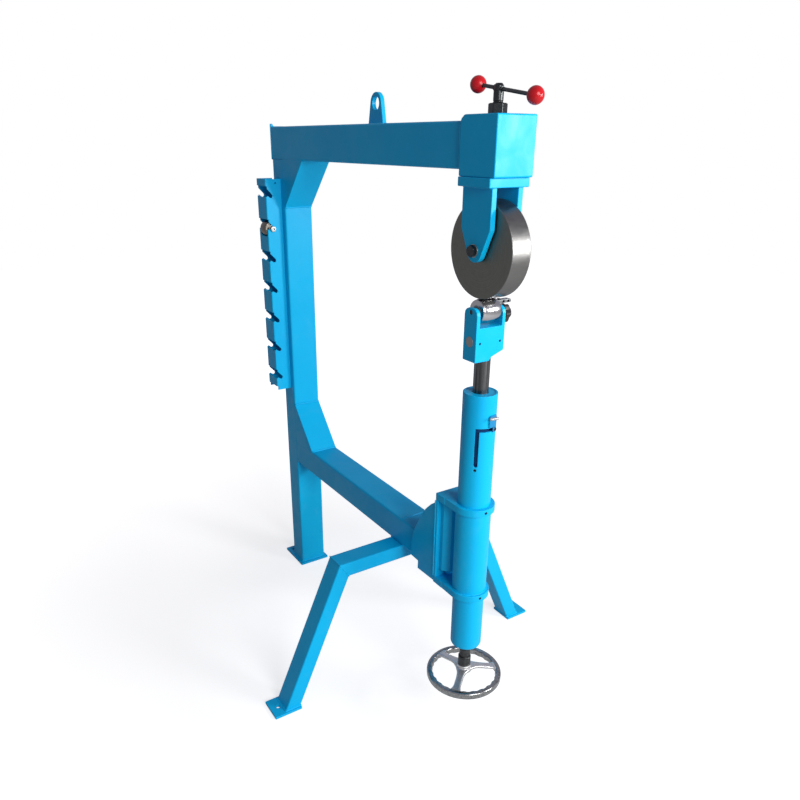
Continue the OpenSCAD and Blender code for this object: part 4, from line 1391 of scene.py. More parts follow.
@dataclass
class Head:
    """Head block with its nut, and the clamp screw with its sliding tee bar."""

    half: float = 55.0
    front: float = -66.5
    rear: float = 56.5
    under: float = 1526.8
    top: float = 1651.8
    nut_across: float = 36.0
    nut_h: float = 21.5
    screw_r: float = 12.0
    screw_low: float = 1589.1
    screw_lead: float = 3.0
    stem_top: float = 1711.3
    bar_z: float = 1701.3
    bar_r: float = 4.0
    tilt: float = 9.0
    shift: float = 22.0
    length: float = 151.0
    ball_r: float = 18.0

    def along_bar(self, surface: Surface) -> Surface:
        """Lays a piece whose own Z is the bar's axis, pointing to the operator and down."""
        return surface.turned((90 + self.tilt, 0, 0), (0, 0, self.bar_z))

    def build(self, shop: Workshop) -> None:
        """Builds the head and its clamp nut.

        Args:
            shop: the workshop.
        """
        outline = fillet([(self.front, self.under), (self.rear, self.under),
                          (self.rear, self.top - 9), (self.rear - 12, self.top),
                          (self.front, self.top)], [4, 4, 9, 12, 4], 6)
        shop.make("head_box", [slab(outline, -self.half, self.half, 2.5, Axis.X)], ["head_block"])
        around = fillet(rectangle(-ARM_HALF, ARM_HALF, *ARM_LEVELS), 8, 5)
        shop.make("head_weld_seam", [bead(np.insert(around, 1, self.rear + 1.5, 1), 4.6, True)],
                  sharp=SEAM_SHARP)
        nut_top = self.top + self.nut_h
        nut = hexagon(self.nut_across, self.top, nut_top, bore=self.screw_r - 0.4, spin=20)
        shop.make("clamp_nut", [nut], ["head_nut"], Finish.DARK)
        self.clamp(shop, nut_top)
        self.handle(shop)

    def clamp(self, shop: Workshop, nut_top: float) -> None:
        """Builds the clamp screw and the boss that the bar slides through.

        Args:
            shop: the workshop.
            nut_top: upper face of the nut.
        """
        stem = lathe(rounded([(nut_top - 6, 0), (nut_top - 6, 10.2), (nut_top + 3, 10.2),
                              (nut_top + 4.5, 11), (self.stem_top - 5.5, 11),
                              (self.stem_top - 1, 7.6), (self.stem_top, 6.4),
                              (self.stem_top, 0)], 0.9))
        screw = thread(self.screw_r, self.screw_low, nut_top + 2, self.screw_lead, Axis.Z)
        boss = self.along_bar(rod(-14, 14, 6.5, count=96, edge=1.0))
        bore = self.along_bar(lathe([(-40, self.bar_r + 0.15), (40, self.bar_r + 0.15)],
                                    count=40))
        shop.make("clamp_spindle", [stem, screw], ["clamp_screw"], Finish.DARK, Body.CLAMP,
                  [bore])
        shop.make("clamp_cross_boss", [boss], (), Finish.DARK, Body.CLAMP, [bore])

    def handle(self, shop: Workshop) -> None:
        """Builds the tee bar and its ball knobs.

        Args:
            shop: the workshop.
        """
        near, far = self.shift - self.length / 2, self.shift + self.length / 2
        bar = rod(near - 10, far + 10, self.bar_r, edge=0.6)
        shop.make("tee_handle_bar", [self.along_bar(bar)], ["tee_bar"], Finish.SCREW,
                  Body.TEE_BAR)
        r = self.ball_r
        t = np.radians(np.linspace(14, 180, 48))
        ball = np.stack([-r * np.cos(t), r * np.sin(t)], -1)
        profile = np.concatenate([[[-r * 0.985, 0.0], [-r * 0.985, 4.0]], ball])
        knob = lathe(profile, count=64)
        balls = [knob.turned((180, 0, 0), (0, 0, near - r + 1)),
                 knob.turned((0, 0, 0), (0, 0, far + r - 1))]
        shop.make("tee_handle_balls", [self.along_bar(b) for b in balls], ["ball_knobs"],
                  Finish.RED, Body.TEE_BAR)


@dataclass
class Fork:
    """Swivelling fork: plate, ears, axle bolt, nut, washers and spacers."""

    plate: Pair = (57.0, 56.0)
    under: float = 1506.5
    plate_t: float = 20.0
    gap: float = 30.5
    ear_out: float = 44.5
    ear_half: float = 51.0
    ear_bend: float = 48.0
    tip: float = 26.0
    axle_z: float = UPPER_AXLE
    axle_r: float = 8.0
    bolt_across: float = 24.0
    head_h: float = 10.0
    nut_h: float = 14.0
    washer_t: float = 3.0
    washer_r: float = 14.8
    thread_x: float = 40.0
    hub_gap: float = 27.3
    race_gap: float = 14.7

    def build(self, shop: Workshop) -> None:
        """Builds the fork.

        Args:
            shop: the workshop.
        """
        w, d = self.plate
        plate = block((-w, w), (-d, d), (self.under, self.under + self.plate_t), 3.0, 1.8)
        shop.make("fork_top_plate", [plate], ["fork_plate"], body=Body.FORK)
        far = math.hypot(self.ear_bend, self.ear_half)
        lean = math.degrees(math.atan2(self.ear_bend, self.ear_half) - math.acos(self.tip / far))
        rise, e = self.under - self.axle_z, self.ear_half
        corners = [(e, self.ear_bend), (e, rise), (-e, rise), (-e, self.ear_bend)]
        tip = circle(self.tip, 25, 180 - lean, 360 + lean)
        ear = fillet(np.concatenate([corners, tip]), [12, 0, 0, 12] + [0] * 25, 6)
        ears = [pierced(ear, self.axle_r + 0.1, *sorted((m * self.gap, m * self.ear_out)), 1.5,
                        Axis.X, (0, 0, self.axle_z)) for m in (-1, 1)]
        shop.make("fork_side_ears", ears, ["fork_ears"], body=Body.FORK)
        seams = mirrored([(self.ear_out, 1 - e, self.under), (self.ear_out, e - 1, self.under)],
                         3.8)
        shop.make("fork_weld_seams", seams, body=Body.FORK, sharp=SEAM_SHARP)
        self.axle(shop)

    def axle(self, shop: Workshop) -> None:
        """Builds the axle bolt with its nut, washers and spacers.

        Args:
            shop: the workshop.
        """
        at, r, bore = (0, 0, self.axle_z), self.axle_r, self.axle_r + 0.05
        x = self.ear_out + self.washer_t
        end = -x - self.head_h
        head = hexagon(self.bolt_across, end, -x, Axis.X, at, 0, 30)
        shank = lathe([(-x - 0.5, r), (self.thread_x, r)], Axis.X, at, 64)
        tail = thread(r, self.thread_x, x + self.nut_h + 4, 2.0, Axis.X, at)
        dish = lathe(rounded([(end - 2, 0), (end - 2, 7.5), (end + 0.6, 6.4), (end + 0.6, 0)],
                             0.3), Axis.X, at, 48)
        shop.make("axle_bolt_m16", [head, shank, tail], ["axle_bolt"], Finish.DARK, Body.FORK,
                  [dish])
        nut = hexagon(self.bolt_across, x, x + self.nut_h, Axis.X, at, r - 0.3, 30)
        shop.make("axle_bolt_nut", [nut], ["axle_nut"], Finish.DARK, Body.FORK)
        sizes = ((self.washer_r, -x, -self.ear_out, 0.4), (self.washer_r, self.ear_out, x, 0.4),
                 (12, -self.gap, -self.hub_gap, 0.3), (12, self.hub_gap, self.gap, 0.3),
                 (11, -self.race_gap, self.race_gap, 0.3))
        rings = [washer(bore, radius, a, b, edge, Axis.X, at) for radius, a, b, edge in sizes]
        shop.make("axle_washers_and_spacers", rings, ["axle_spacers"], Finish.BRIGHT, Body.FORK)


@dataclass
class RunningWheel:
    """A wheel on a pair of ball bearings, turned about X."""

    name: str
    z: float
    radius: float
    half: float
    hub: float
    bearing: float
    seat: float
    crown: float
    finish: Finish
    body: Body
    nodes: tuple[str, str]
    shoulder: float = 6.0

    def bearings(self, side: int) -> list[Surface]:
        """Builds one bearing.

        Args:
            side: -1 for the left one, 1 for the right one.

        Returns:
            Its outer race, inner race and shield.
        """
        at, h = (0, 0, self.z), self.half
        ends = sorted((side * h, side * (h - self.seat)))
        face = sorted((side * (h - 0.9), side * (h - 1.6)))
        third = (self.bearing - self.hub) / 3.6
        sizes = ((self.bearing - third, self.bearing, ends, 0.5),
                 (self.hub, self.hub + third, ends, 0.5),
                 (self.hub + third * 0.8, self.bearing - third * 0.8, face, 0.15))
        return [washer(a, b, *run, edge, Axis.X, at) for a, b, run, edge in sizes]

    def build(self, shop: Workshop) -> None:
        """Builds the wheel and its bearings.

        At the distance x from its middle the running face has the radius less
        crown (x / half)^2.

        Args:
            shop: the workshop.
        """
        h, r, c = self.half, self.radius, self.crown
        x = np.linspace(-h + 1.6, h - 1.6, 25)
        face = np.stack([x, r - c * (x / h) ** 2], -1)
        edge = fillet([(-h, r - c - 30), (-h, r - c), (h, r - c), (h, r - c - 30)], 1.8, 5)
        left, right = edge[5:10], edge[10:15]
        b, s = self.bearing, h - self.seat
        stop = b - self.shoulder
        inner = [(h, b + 0.6), (h - 0.6, b), (s, b), (s, stop), (-s, stop), (-s, b),
                 (-h + 0.6, b), (-h, b + 0.6)]
        loop = np.concatenate([left, face[1:-1], right, inner])
        shop.make(self.name, [lathe(loop, Axis.X, (0, 0, self.z), 160, ring=True)],
                  [self.nodes[0]], self.finish, self.body)
        shop.make(f"{self.name}_bearings", self.bearings(-1) + self.bearings(1),
                  [self.nodes[1]], Finish.BRIGHT, self.body)


@dataclass
class YokeHead:
    """Yoke with its cross pin, grub screws and keeper, the anvil axle and the lock knob."""

    half: float = 44.0
    deep: float = 24.0
    under: float = 1111.0
    top: float = 1240.0
    keeper_h: float = 12.0
    cheek_in: float = 34.0
    floor: float = 1194.0
    pin_r: float = PIN_RADIUS
    pin_z: float = PIN_LEVEL
    grub_x: float = 31.0
    axle_r: float = 6.0
    axle_z: float = LOWER_AXLE
    lock_r: float = 4.0
    lock_z: float = 1218.0
    knob_r: float = 24.0
    knob_x: float = 46.0
    washer_r: float = 16.8

    def body(self, shop: Workshop) -> None:
        """Builds the yoke itself: a side outline, from which the fork and the bores are cut.

        Args:
            shop: the workshop.
        """
        d, u, t, w, c = self.deep, self.under, self.top, self.half, self.cheek_in
        side = fillet([(-d, u), (d, u), (d, t - 16), (d - 2, t - 8), (d - 7, t - 3), (10, t),
                       (-10, t), (7 - d, t - 3), (2 - d, t - 8), (-d, t - 16)],
                      [2, 3, 5, 5, 4, 3, 3, 4, 5, 5], 5)
        throat = fillet([(-c, self.floor), (c, self.floor), (c, t + 30), (-c, t + 30)],
                        [2.5, 2.5, 0.1, 0.1], 6)
        bevel = np.array([[u - 9, w - 44], [u + 2, w - 44], [u + 10, w - 36], [u + 24, w + 3],
                          [u - 9, w + 3]])[::-1]
        cuts = [slab(flipped(throat), -60, 60, 0, Axis.Y), slab(bevel, -60, 60, 0, Axis.Y),
                lathe([(u - 5, 0), (u - 5, RAM_RADIUS), (u + 69, RAM_RADIUS), (u + 70, 0)])]
        cuts += [rod(a, 60, radius, Axis.X, (0, 0, z), 64) for a, radius, z in (
            (-60, self.pin_r, self.pin_z), (-60, self.axle_r + 0.05, self.axle_z),
            (0, self.lock_r + 0.05, self.lock_z))]
        cuts += [rod(-30, -15, 3.05, Axis.Y, (s * self.grub_x, 0, self.pin_z - 2), 40)
                 for s in (-1, 1)]
        shop.make("yoke_body", [slab(side, -w, w, 1.6, Axis.X)], ["yoke"], body=Body.RAM,
                  cuts=cuts)

    def build(self, shop: Workshop) -> None:
        """Builds the yoke and what sits in it.

        Args:
            shop: the workshop.
        """
        self.body(shop)
        w = self.half
        pin = rod(-w - 0.6, w + 0.6, self.pin_r - 0.05, Axis.X, (0, 0, self.pin_z), 72, 0.8)
        shop.make("yoke_cross_pin_turned", [pin], ["yoke_cross_pin"], Finish.PIN, Body.RAM)
        self.keeper(shop)
        axle = rod(1 - w, w, self.axle_r, Axis.X, (0, 0, self.axle_z), 72, 0.8)
        shop.make("anvil_axle_pin", [axle], ["anvil_axle"], Finish.DARK, Body.ANVIL)
        self.knob(shop)

    def keeper(self, shop: Workshop) -> None:
        """Builds the grub screws and the claw that keeps the axle, with its own screw.

        Args:
            shop: the workshop.
        """
        t, up, x = self.top, self.top + self.keeper_h, self.cheek_in + 5
        screws, sockets = [], []
        for s in (-1, 1):
            at = (s * self.grub_x, 0, self.pin_z - 2)
            screws.append(rod(-23, -16, 3, Axis.Y, at, 40, 0.4))
            sockets.append(hexagon(3.0, -25, -19.5, Axis.Y, at))
        at = (x, 0, 0)
        screws.append(lathe(rounded([(t - 8, 0), (t - 8, 2), (up, 2), (up, 4), (up + 2.6, 4),
                                     (up + 2.6, 0)], [0, 0, 0.1, 0.2, 1.4, 0]), Axis.Z, at, 48))
        sockets.append(hexagon(2.6, up + 1, up + 5, Axis.Z, at))
        shop.make("yoke_grub_screws", screws, ["yoke_screws"], Finish.DARK, Body.RAM, sockets)
        claw = fillet([(x - 9, t), (self.half, t), (self.half + 1, t + 3.6), (x + 33, t + 3.6),
                       (x + 33, up), (x - 9, up)], [1, 0.5, 0.5, 3, 4, 2], 5)
        holes = [rod(t - 2, up + 2, 2, Axis.Z, at, 32)]
        holes += [lathe([(-12, 3.2), (12, 3.2)], Axis.Y, (x + k, 0, up - 5), 40)
                  for k in (9, 24)]
        shop.make("axle_keeper_claw", [slab(flipped(claw), -8, 8, 0.8, Axis.Y)], ["axle_keeper"],
                  Finish.KEEPER, Body.RAM, holes)

    def knob(self, shop: Workshop) -> None:
        """Builds the lobed knob: radius = r - a + a cos(6 t), softened towards both faces.

        Args:
            shop: the workshop.
        """
        r, x, at = self.knob_r, self.knob_x, (0, 0, self.lock_z)
        lobes = rounded([(0, 4), (0, r), (17, r), (17, 15.9), (24, 15.2), (24, 4)],
                        [0, 3.4, 3.6, 1.6, 2.4, 0], 6)
        weight = np.clip((lobes[:, 1] - 17.5) / 6, 0, 1)[None]
        head = lathe(lobes, Axis.X, (x, 0, self.lock_z), 144, ring=True,
                     swell=lambda t: weight * 2.2 * (np.cos(6 * t) - 1))
        shop.make("lobed_lock_knob", [head], ["lock_knob"], Finish.BLACK, Body.LOCK_KNOB)
        screw = thread(self.lock_r, self.cheek_in, x - 0.5, 1.25, Axis.X, at, 24)
        shank = rod(x - 1, x + 27, self.lock_r, Axis.X, at, 72, 0.8)
        disc = rod(self.half + 0.05, x, self.washer_r, Axis.X, at, 72, 0.4)
        shop.make("lock_knob_screw", [screw, shank, disc], ["lock_screw"], Finish.BRIGHT,
                  Body.LOCK_KNOB)


@dataclass
class Column:
    """Ram, column tube with its J slot, guide bush, release lever and adjusting screw."""

    low: float = 256.0
    high: float = 1027.0
    bore: float = 38.0
    radius: float = 44.0
    slot: float = 10.0
    slot_low: float = 841.0
    level: float = 937.0
    limb: float = -133.0
    pin: float = -70.0
    pin_r: float = 4.5
    key: Pair = (-134.0, 828.0)
    key_slot: Pair = (788.0, 908.0)
    key_r: float = 3.5
    bush_h: float = 28.0
    ring_h: float = 28.0
    ram: Pair = (601.0, 1181.0)
    ram_bore: Pair = (13.5, 901.0)
    nut_bore: Pair = (16.5, 645.0)
    screw_r: float = 12.0
    screw_run: Pair = (311.0, 821.0)
    screw_lead: float = 5.0
    plug_top: float = 290.0

    def build(self, shop: Workshop) -> None:
        """Builds the column and what slides in it.

        Args:
            shop: the workshop.
        """
        self.barrel(shop)
        self.slider(shop)
        self.release(shop)
        self.screw(shop)

    def barrel(self, shop: Workshop) -> None:
        """Builds the column tube with its J slot, and what is fixed in it.

        Args:
            shop: the workshop.
        """
        r, b, half, sliding = self.radius, self.bore, self.slot / 2, RAM_RADIUS + 0.05
        loop = [(self.low, b), (self.low, b + 1), (self.low + 2, r - 2), (self.low + 7, r),
                (self.high - 0.8, r), (self.high, r - 0.8), (self.high, b + 0.8),
                (self.high - 0.8, b)]
        limb = slab(rectangle(-half, half, self.slot_low, self.level + half), r - 12, r + 12, 0,
                    Axis.X)
        cuts = [limb.turned((0, 0, self.limb)),
                rod(r - 12, r + 12, half).pointed(self.limb, self.slot_low),
                sector(b - 6, r + 6, self.limb, self.pin + 10, self.level - half,
                       self.level + half),
                rod(b - 4, r + 4, 4.0).pointed(*self.key)]
        shop.make("column_barrel", [lathe(loop, count=144, ring=True)], ["column_tube"],
                  cuts=cuts)
        bush = washer(sliding, b, self.high - self.bush_h, self.high - 1.2, 1.0, Axis.Z, count=96)
        shop.make("guide_bush_ring", [bush], ["top_guide_bush"])
        top = self.slot_low - 1
        ring = washer(sliding, b, top - self.ring_h, top, 1.0, Axis.Z, count=120)
        # The support ring wears the sleeve's dark navy painted shade
        shop.make("ram_support_ring", [ring], ["support_ring"], Finish.SLEEVE_PAINTED_SHADE,
                  cuts=[rod(RAM_RADIUS - 3, b + 4, self.key_r).pointed(*self.key)])
        screw = [rod(RAM_RADIUS + 0.5, r - 1, 4.0, edge=0.4).pointed(*self.key),
                 rod(RAM_RADIUS - 3, RAM_RADIUS + 1, self.key_r).pointed(*self.key)]
        socket = hexagon(4.0, r - 5, r + 2).pointed(*self.key)
        shop.make("ram_key_screw", screw, ["key_screw"], Finish.DARK, cuts=[socket])

    def slider(self, shop: Workshop) -> None:
        """Builds the ram with its bores, its key slot and the cross pin's hole.

        Args:
            shop: the workshop.
        """
        low, high = self.ram
        bores = [rod(low - 2 - k, top, radius)
                 for k, (radius, top) in enumerate((self.ram_bore, self.nut_bore))]
        key = slab(rectangle(-4.05, 4.05, *self.key_slot), 16, 26, 0, Axis.X)
        cross = rod(-60, 60, PIN_RADIUS, Axis.X, (0, 0, PIN_LEVEL), 64)
        shop.make("sliding_ram", [rod(low, high, RAM_RADIUS, count=96, edge=1.0)], ["ram"],
                  Finish.RAM, Body.RAM, [*bores, key.turned((0, 0, self.key[0])), cross])

    def release(self, shop: Workshop) -> None:
        """Builds the curved release lever, its sleeve, its pin and its handle stub.

        Args:
            shop: the workshop.
        """
        p, z, inner = self.pin, self.level, self.radius + 0.4
        outer = inner + 3
        plate = sector(inner, outer, p - 26, p + 8, z + 7, z + 38, 5)
        tongue = sector(inner, outer, p - 9, p + 8, z - 7, z + 12, 2.5)
        shop.make("release_lever_plate", [plate, tongue], ["release_lever"], Finish.LEVER,
                  Body.RELEASE)
        tube = washer(RAM_RADIUS + 0.05, self.bore - 0.05, z - 96.8, z + 50, 0.8, Axis.Z,
                      count=120)
        # The sleeve wears a dark navy painted shade, seen through the J slot
        shop.make("release_sleeve_tube", [tube], ["release_sleeve"], Finish.SLEEVE_PAINTED_SHADE, Body.RELEASE,
                  [rod(26, 50, self.pin_r).pointed(p, z)])
        pin = rod(26, outer + 2, self.pin_r, edge=0.8).pointed(p, z)
        shop.make("release_lock_pin", [pin], ["release_pin"], Finish.DARK, Body.RELEASE)
        t, out = math.radians(p - 27), outer + 5.6
        stub = rod(0, 27, 4, edge=0.9).turned((0, 97, p + 78), (out * math.cos(t),
                                                                out * math.sin(t), z + 33))
        shop.make("release_handle_stub", [stub], (), Finish.STUB, Body.RELEASE)

    def screw(self, shop: Workshop) -> None:
        """Builds the adjusting screw with its journal and collars, and the plug round it.

        Args:
            shop: the workshop.
        """
        body = lathe(rounded([(134, 0), (134, 8), (177, 8), (177, 18.5), (206, 18.5), (206, 15),
                              (301, 15), (301, 22), (313, 22), (313, 0)],
                             [0, 1, 0.2, 2.5, 2.5, 0.2, 0.2, 1, 1, 0]), count=96)
        screw = thread(self.screw_r, *self.screw_run, self.screw_lead, Axis.Z, count=32)
        shop.make("adjusting_screw_spindle", [body, screw], ["adjusting_screw"], Finish.SCREW,
                  Body.HAND_WHEEL)
        plug = washer(15.05, self.bore, self.low + 0.5, self.plug_top, 1.0, Axis.Z, count=96)
        shop.make("column_bottom_plug", [plug], ["bottom_plug"], Finish.BRIGHT)


@dataclass
class Bracket:
    """Bracket that holds the column: collars, sleeve, saddle, back plate and side plates."""

    half: float = 56.0
    top: float = 717.0
    low: float = 430.0
    thick: float = 20.0
    bore: float = 44.05
    sleeve: float = 47.5
    back: Pair = (85.0, 95.0)
    set_angle: float = -94.0
    set_r: float = 4.0
    cheek_in: float = 50.0
    cheek_level: float = 548.0
    cheek_rise: float = 149.0
    saddle_y: float = 60.0
    saddle_half: float = 45.0
    saddle_low: float = 476.0

    def build(self, shop: Workshop) -> None:
        """Builds the bracket.

        Args:
            shop: the workshop.
        """
        self.collars(shop)
        z0, z1 = self.low + self.thick, self.top - self.thick
        sleeve = washer(self.bore, self.sleeve, z0, z1, 0.3, Axis.Z, count=120)
        shop.make("column_sleeve", [sleeve], ["clamp_sleeve"])
        back = block((-self.half, self.half), self.back, (z0, z1), 2.6, 0.3)
        shop.make("bracket_back_plate", [back], ["back_plate"])
        core = rod(z0 - 5, z1 + 5, self.sleeve, count=120)
        y, rear, w = self.saddle_y, self.back[0], self.saddle_half
        tee = fillet([(-20, y - 25), (20, y - 25), (20, y - 10), (30, y - 8), (w, y + 10),
                      (w, rear), (-w, rear), (-w, y + 10), (-30, y - 8), (-20, y - 10)],
                     [0.5, 0.5, 2, 3, 2.5, 0.5, 0.5, 2.5, 3, 2], 5)
        shop.make("bracket_saddle", [slab(tee, self.saddle_low, z1, 0.4)], ["saddle_block"],
                  cuts=[core])
        shop.make("bracket_cheek_plates", self.cheeks(), ["side_plates"])
        self.weld(shop)

    def collars(self, shop: Workshop) -> None:
        """Builds both collars and their set screws.

        Args:
            shop: the workshop.
        """
        h, rear = self.half, self.back[1]
        outline = np.concatenate([circle(h, 61, 180, 360),
                                  fillet([(h, rear - 40), (h, rear), (-h, rear), (-h, rear - 40)],
                                         [1, 2, 2, 1], 4)])
        for name, z in (("upper_collar", self.top - self.thick), ("lower_collar", self.low)):
            hole = rod(42, 70, self.set_r).pointed(self.set_angle, z + self.thick / 2)
            shop.make(f"{name}_plate", [pierced(outline, self.bore, z, z + self.thick, 1.2)],
                      [name], cuts=[hole])
        screws, sockets = [], []
        for z in (self.low + self.thick / 2, self.top - self.thick / 2):
            screw = rod(self.bore, h - 1.5, self.set_r, edge=0.4)
            socket = hexagon(4.0, h - 5, h + 2)
            screws.append(screw.pointed(self.set_angle, z))
            sockets.append(socket.pointed(self.set_angle, z))
        shop.make("collar_grub_screws", screws, ["collar_set_screws"], Finish.DARK, cuts=sockets)

    def cheeks(self) -> list[Surface]:
        """Builds the side plates, whose upper edge sweeps down along the arm.

        Returns:
            The left plate and the right one.
        """
        rear, t, s = self.back[1], self.cheek_level, self.cheek_rise
        curve = [(rear, 434), (rear + 78, 432), (rear + 77, 458), (rear + 113, 460),
                 (rear + 113, 506), (rear + 102, t), (rear + 82, t + s * 0.28),
                 (rear + 68, t + s * 0.43), (rear + 48, t + s * 0.65), (rear + 22, t + s * 0.83),
                 (rear + 2, t + s * 0.93), (rear, t + s * 0.96)]
        outline = fillet(curve, [0.5, 2, 1, 4, 12, 20, 30, 30, 30, 25, 4, 0.5], 5)
        return [slab(outline, *sorted((m * self.cheek_in, m * self.half)), 1.2, Axis.X)
                for m in (-1, 1)]

    def weld(self, shop: Workshop) -> None:
        """Lays the seams of the bracket as beads.

        Args:
            shop: the workshop.
        """
        h, (front, rear), w, t = self.half, self.back, self.saddle_half, self.cheek_level
        z0, z1, low = self.low + self.thick, self.top - self.thick, self.saddle_low
        seams = mirrored([(h, rear - 0.5, z0 + 2), (h, rear - 0.5, z1 - 2)], 2.6)
        seams += mirrored([(self.cheek_in, rear + 4, t), (self.cheek_in, rear + 98, t)], 2.4)
        seams += mirrored([(30, front, low), (w, front, low), (w, front, z1 - 1)], 2.2)
        sweep = circle(self.sleeve + 0.4, 60, -210, 30)
        seams += [bead(np.insert(sweep, 2, z, axis=1), 2.2) for z in (z0, z1)]
        shop.make("bracket_weld_seams", seams, sharp=SEAM_SHARP)


@dataclass
class HandWheel:
    """Cast hand wheel with a finger grip rim and three spokes, and its nut."""

    radius: float = 110.0
    inner: float = 94.0
    low: float = 134.0
    high: float = 154.0
    hub_low: float = 155.0
    hub_high: float = 177.0
    hub_r: Pair = (24.0, 21.5)
    bore: float = 8.0
    first: float = -142.0
    spokes: int = 3
    grips: int = 24
    grip: float = 1.2
    nut_across: float = 24.0
    nut: Pair = (144.0, 155.0)

    def spoke(self, angle: float) -> Surface:
        """A lofted spoke: an oval section that falls from the hub to the rim and flares at both.

        At the share s of its run the half width is 10.5 + 11 exp(-(s / 0.2)^1.6) and up to 6
        more at the rim, and the middle's height falls from the hub by a smooth step.

        Args:
            angle: direction of the spoke in degrees.

        Returns:
            The surface.
        """
        s = np.linspace(0, 1, 28)[None]
        t = np.linspace(0, TAU, 32, endpoint=False)[:, None]
        power = 0.55
        c, n = np.cos(t), np.sin(t)
        ease = s * s * (3 - 2 * s)
        width = 10.5 + 11 * np.exp(-((s / 0.2) ** 1.6)) + 6 * np.clip((s - 0.75) / 0.25, 0, 1)**2
        grid = np.stack([12 + (self.inner - 10) * s + 0 * t,
                         width * np.sign(c) * np.abs(c) ** power,
                         self.hub_high - 12 - 14 * ease + 4.8 * np.sign(n)
                         * np.abs(n) ** power], -1)
        return weave(grid).turned((0, 0, angle))

    def build(self, shop: Workshop) -> None:
        """Builds the hand wheel; its rim's inside swells by grip cos(24 t) for the fingers.

        Args:
            shop: the workshop.
        """
        loop = fillet(rectangle(self.low, self.high, self.inner, self.radius), 5.5, 7)
        inside = np.clip((self.radius - 3 - loop[:, 1]) / 8, 0, 1)[None]
        rim_skin = lathe(loop, count=240, ring=True,
                         swell=lambda t: inside * self.grip * np.cos(self.grips * t))
        shop.make("cast_hand_wheel", [rim_skin], ["hand_wheel"], Finish.CAST, Body.HAND_WHEEL)
        hub = lathe(fillet([(self.hub_low, self.bore), (self.hub_low, self.hub_r[0]),
                            (self.hub_high, self.hub_r[1]), (self.hub_high, self.bore)],
                           [0.5, 2.5, 2.0, 0.5], 5), count=96, ring=True)
        turn = 360 / self.spokes
        spokes = [self.spoke(self.first + turn * k) for k in range(self.spokes)]
        shop.make("hand_wheel_spider", [hub, *spokes], (), Finish.SPIDER, Body.HAND_WHEEL)
        nut = hexagon(self.nut_across, *self.nut, bore=self.bore)
        shop.make("hand_wheel_lock_nut", [nut], ["hand_wheel_nut"], Finish.DARK, Body.HAND_WHEEL)


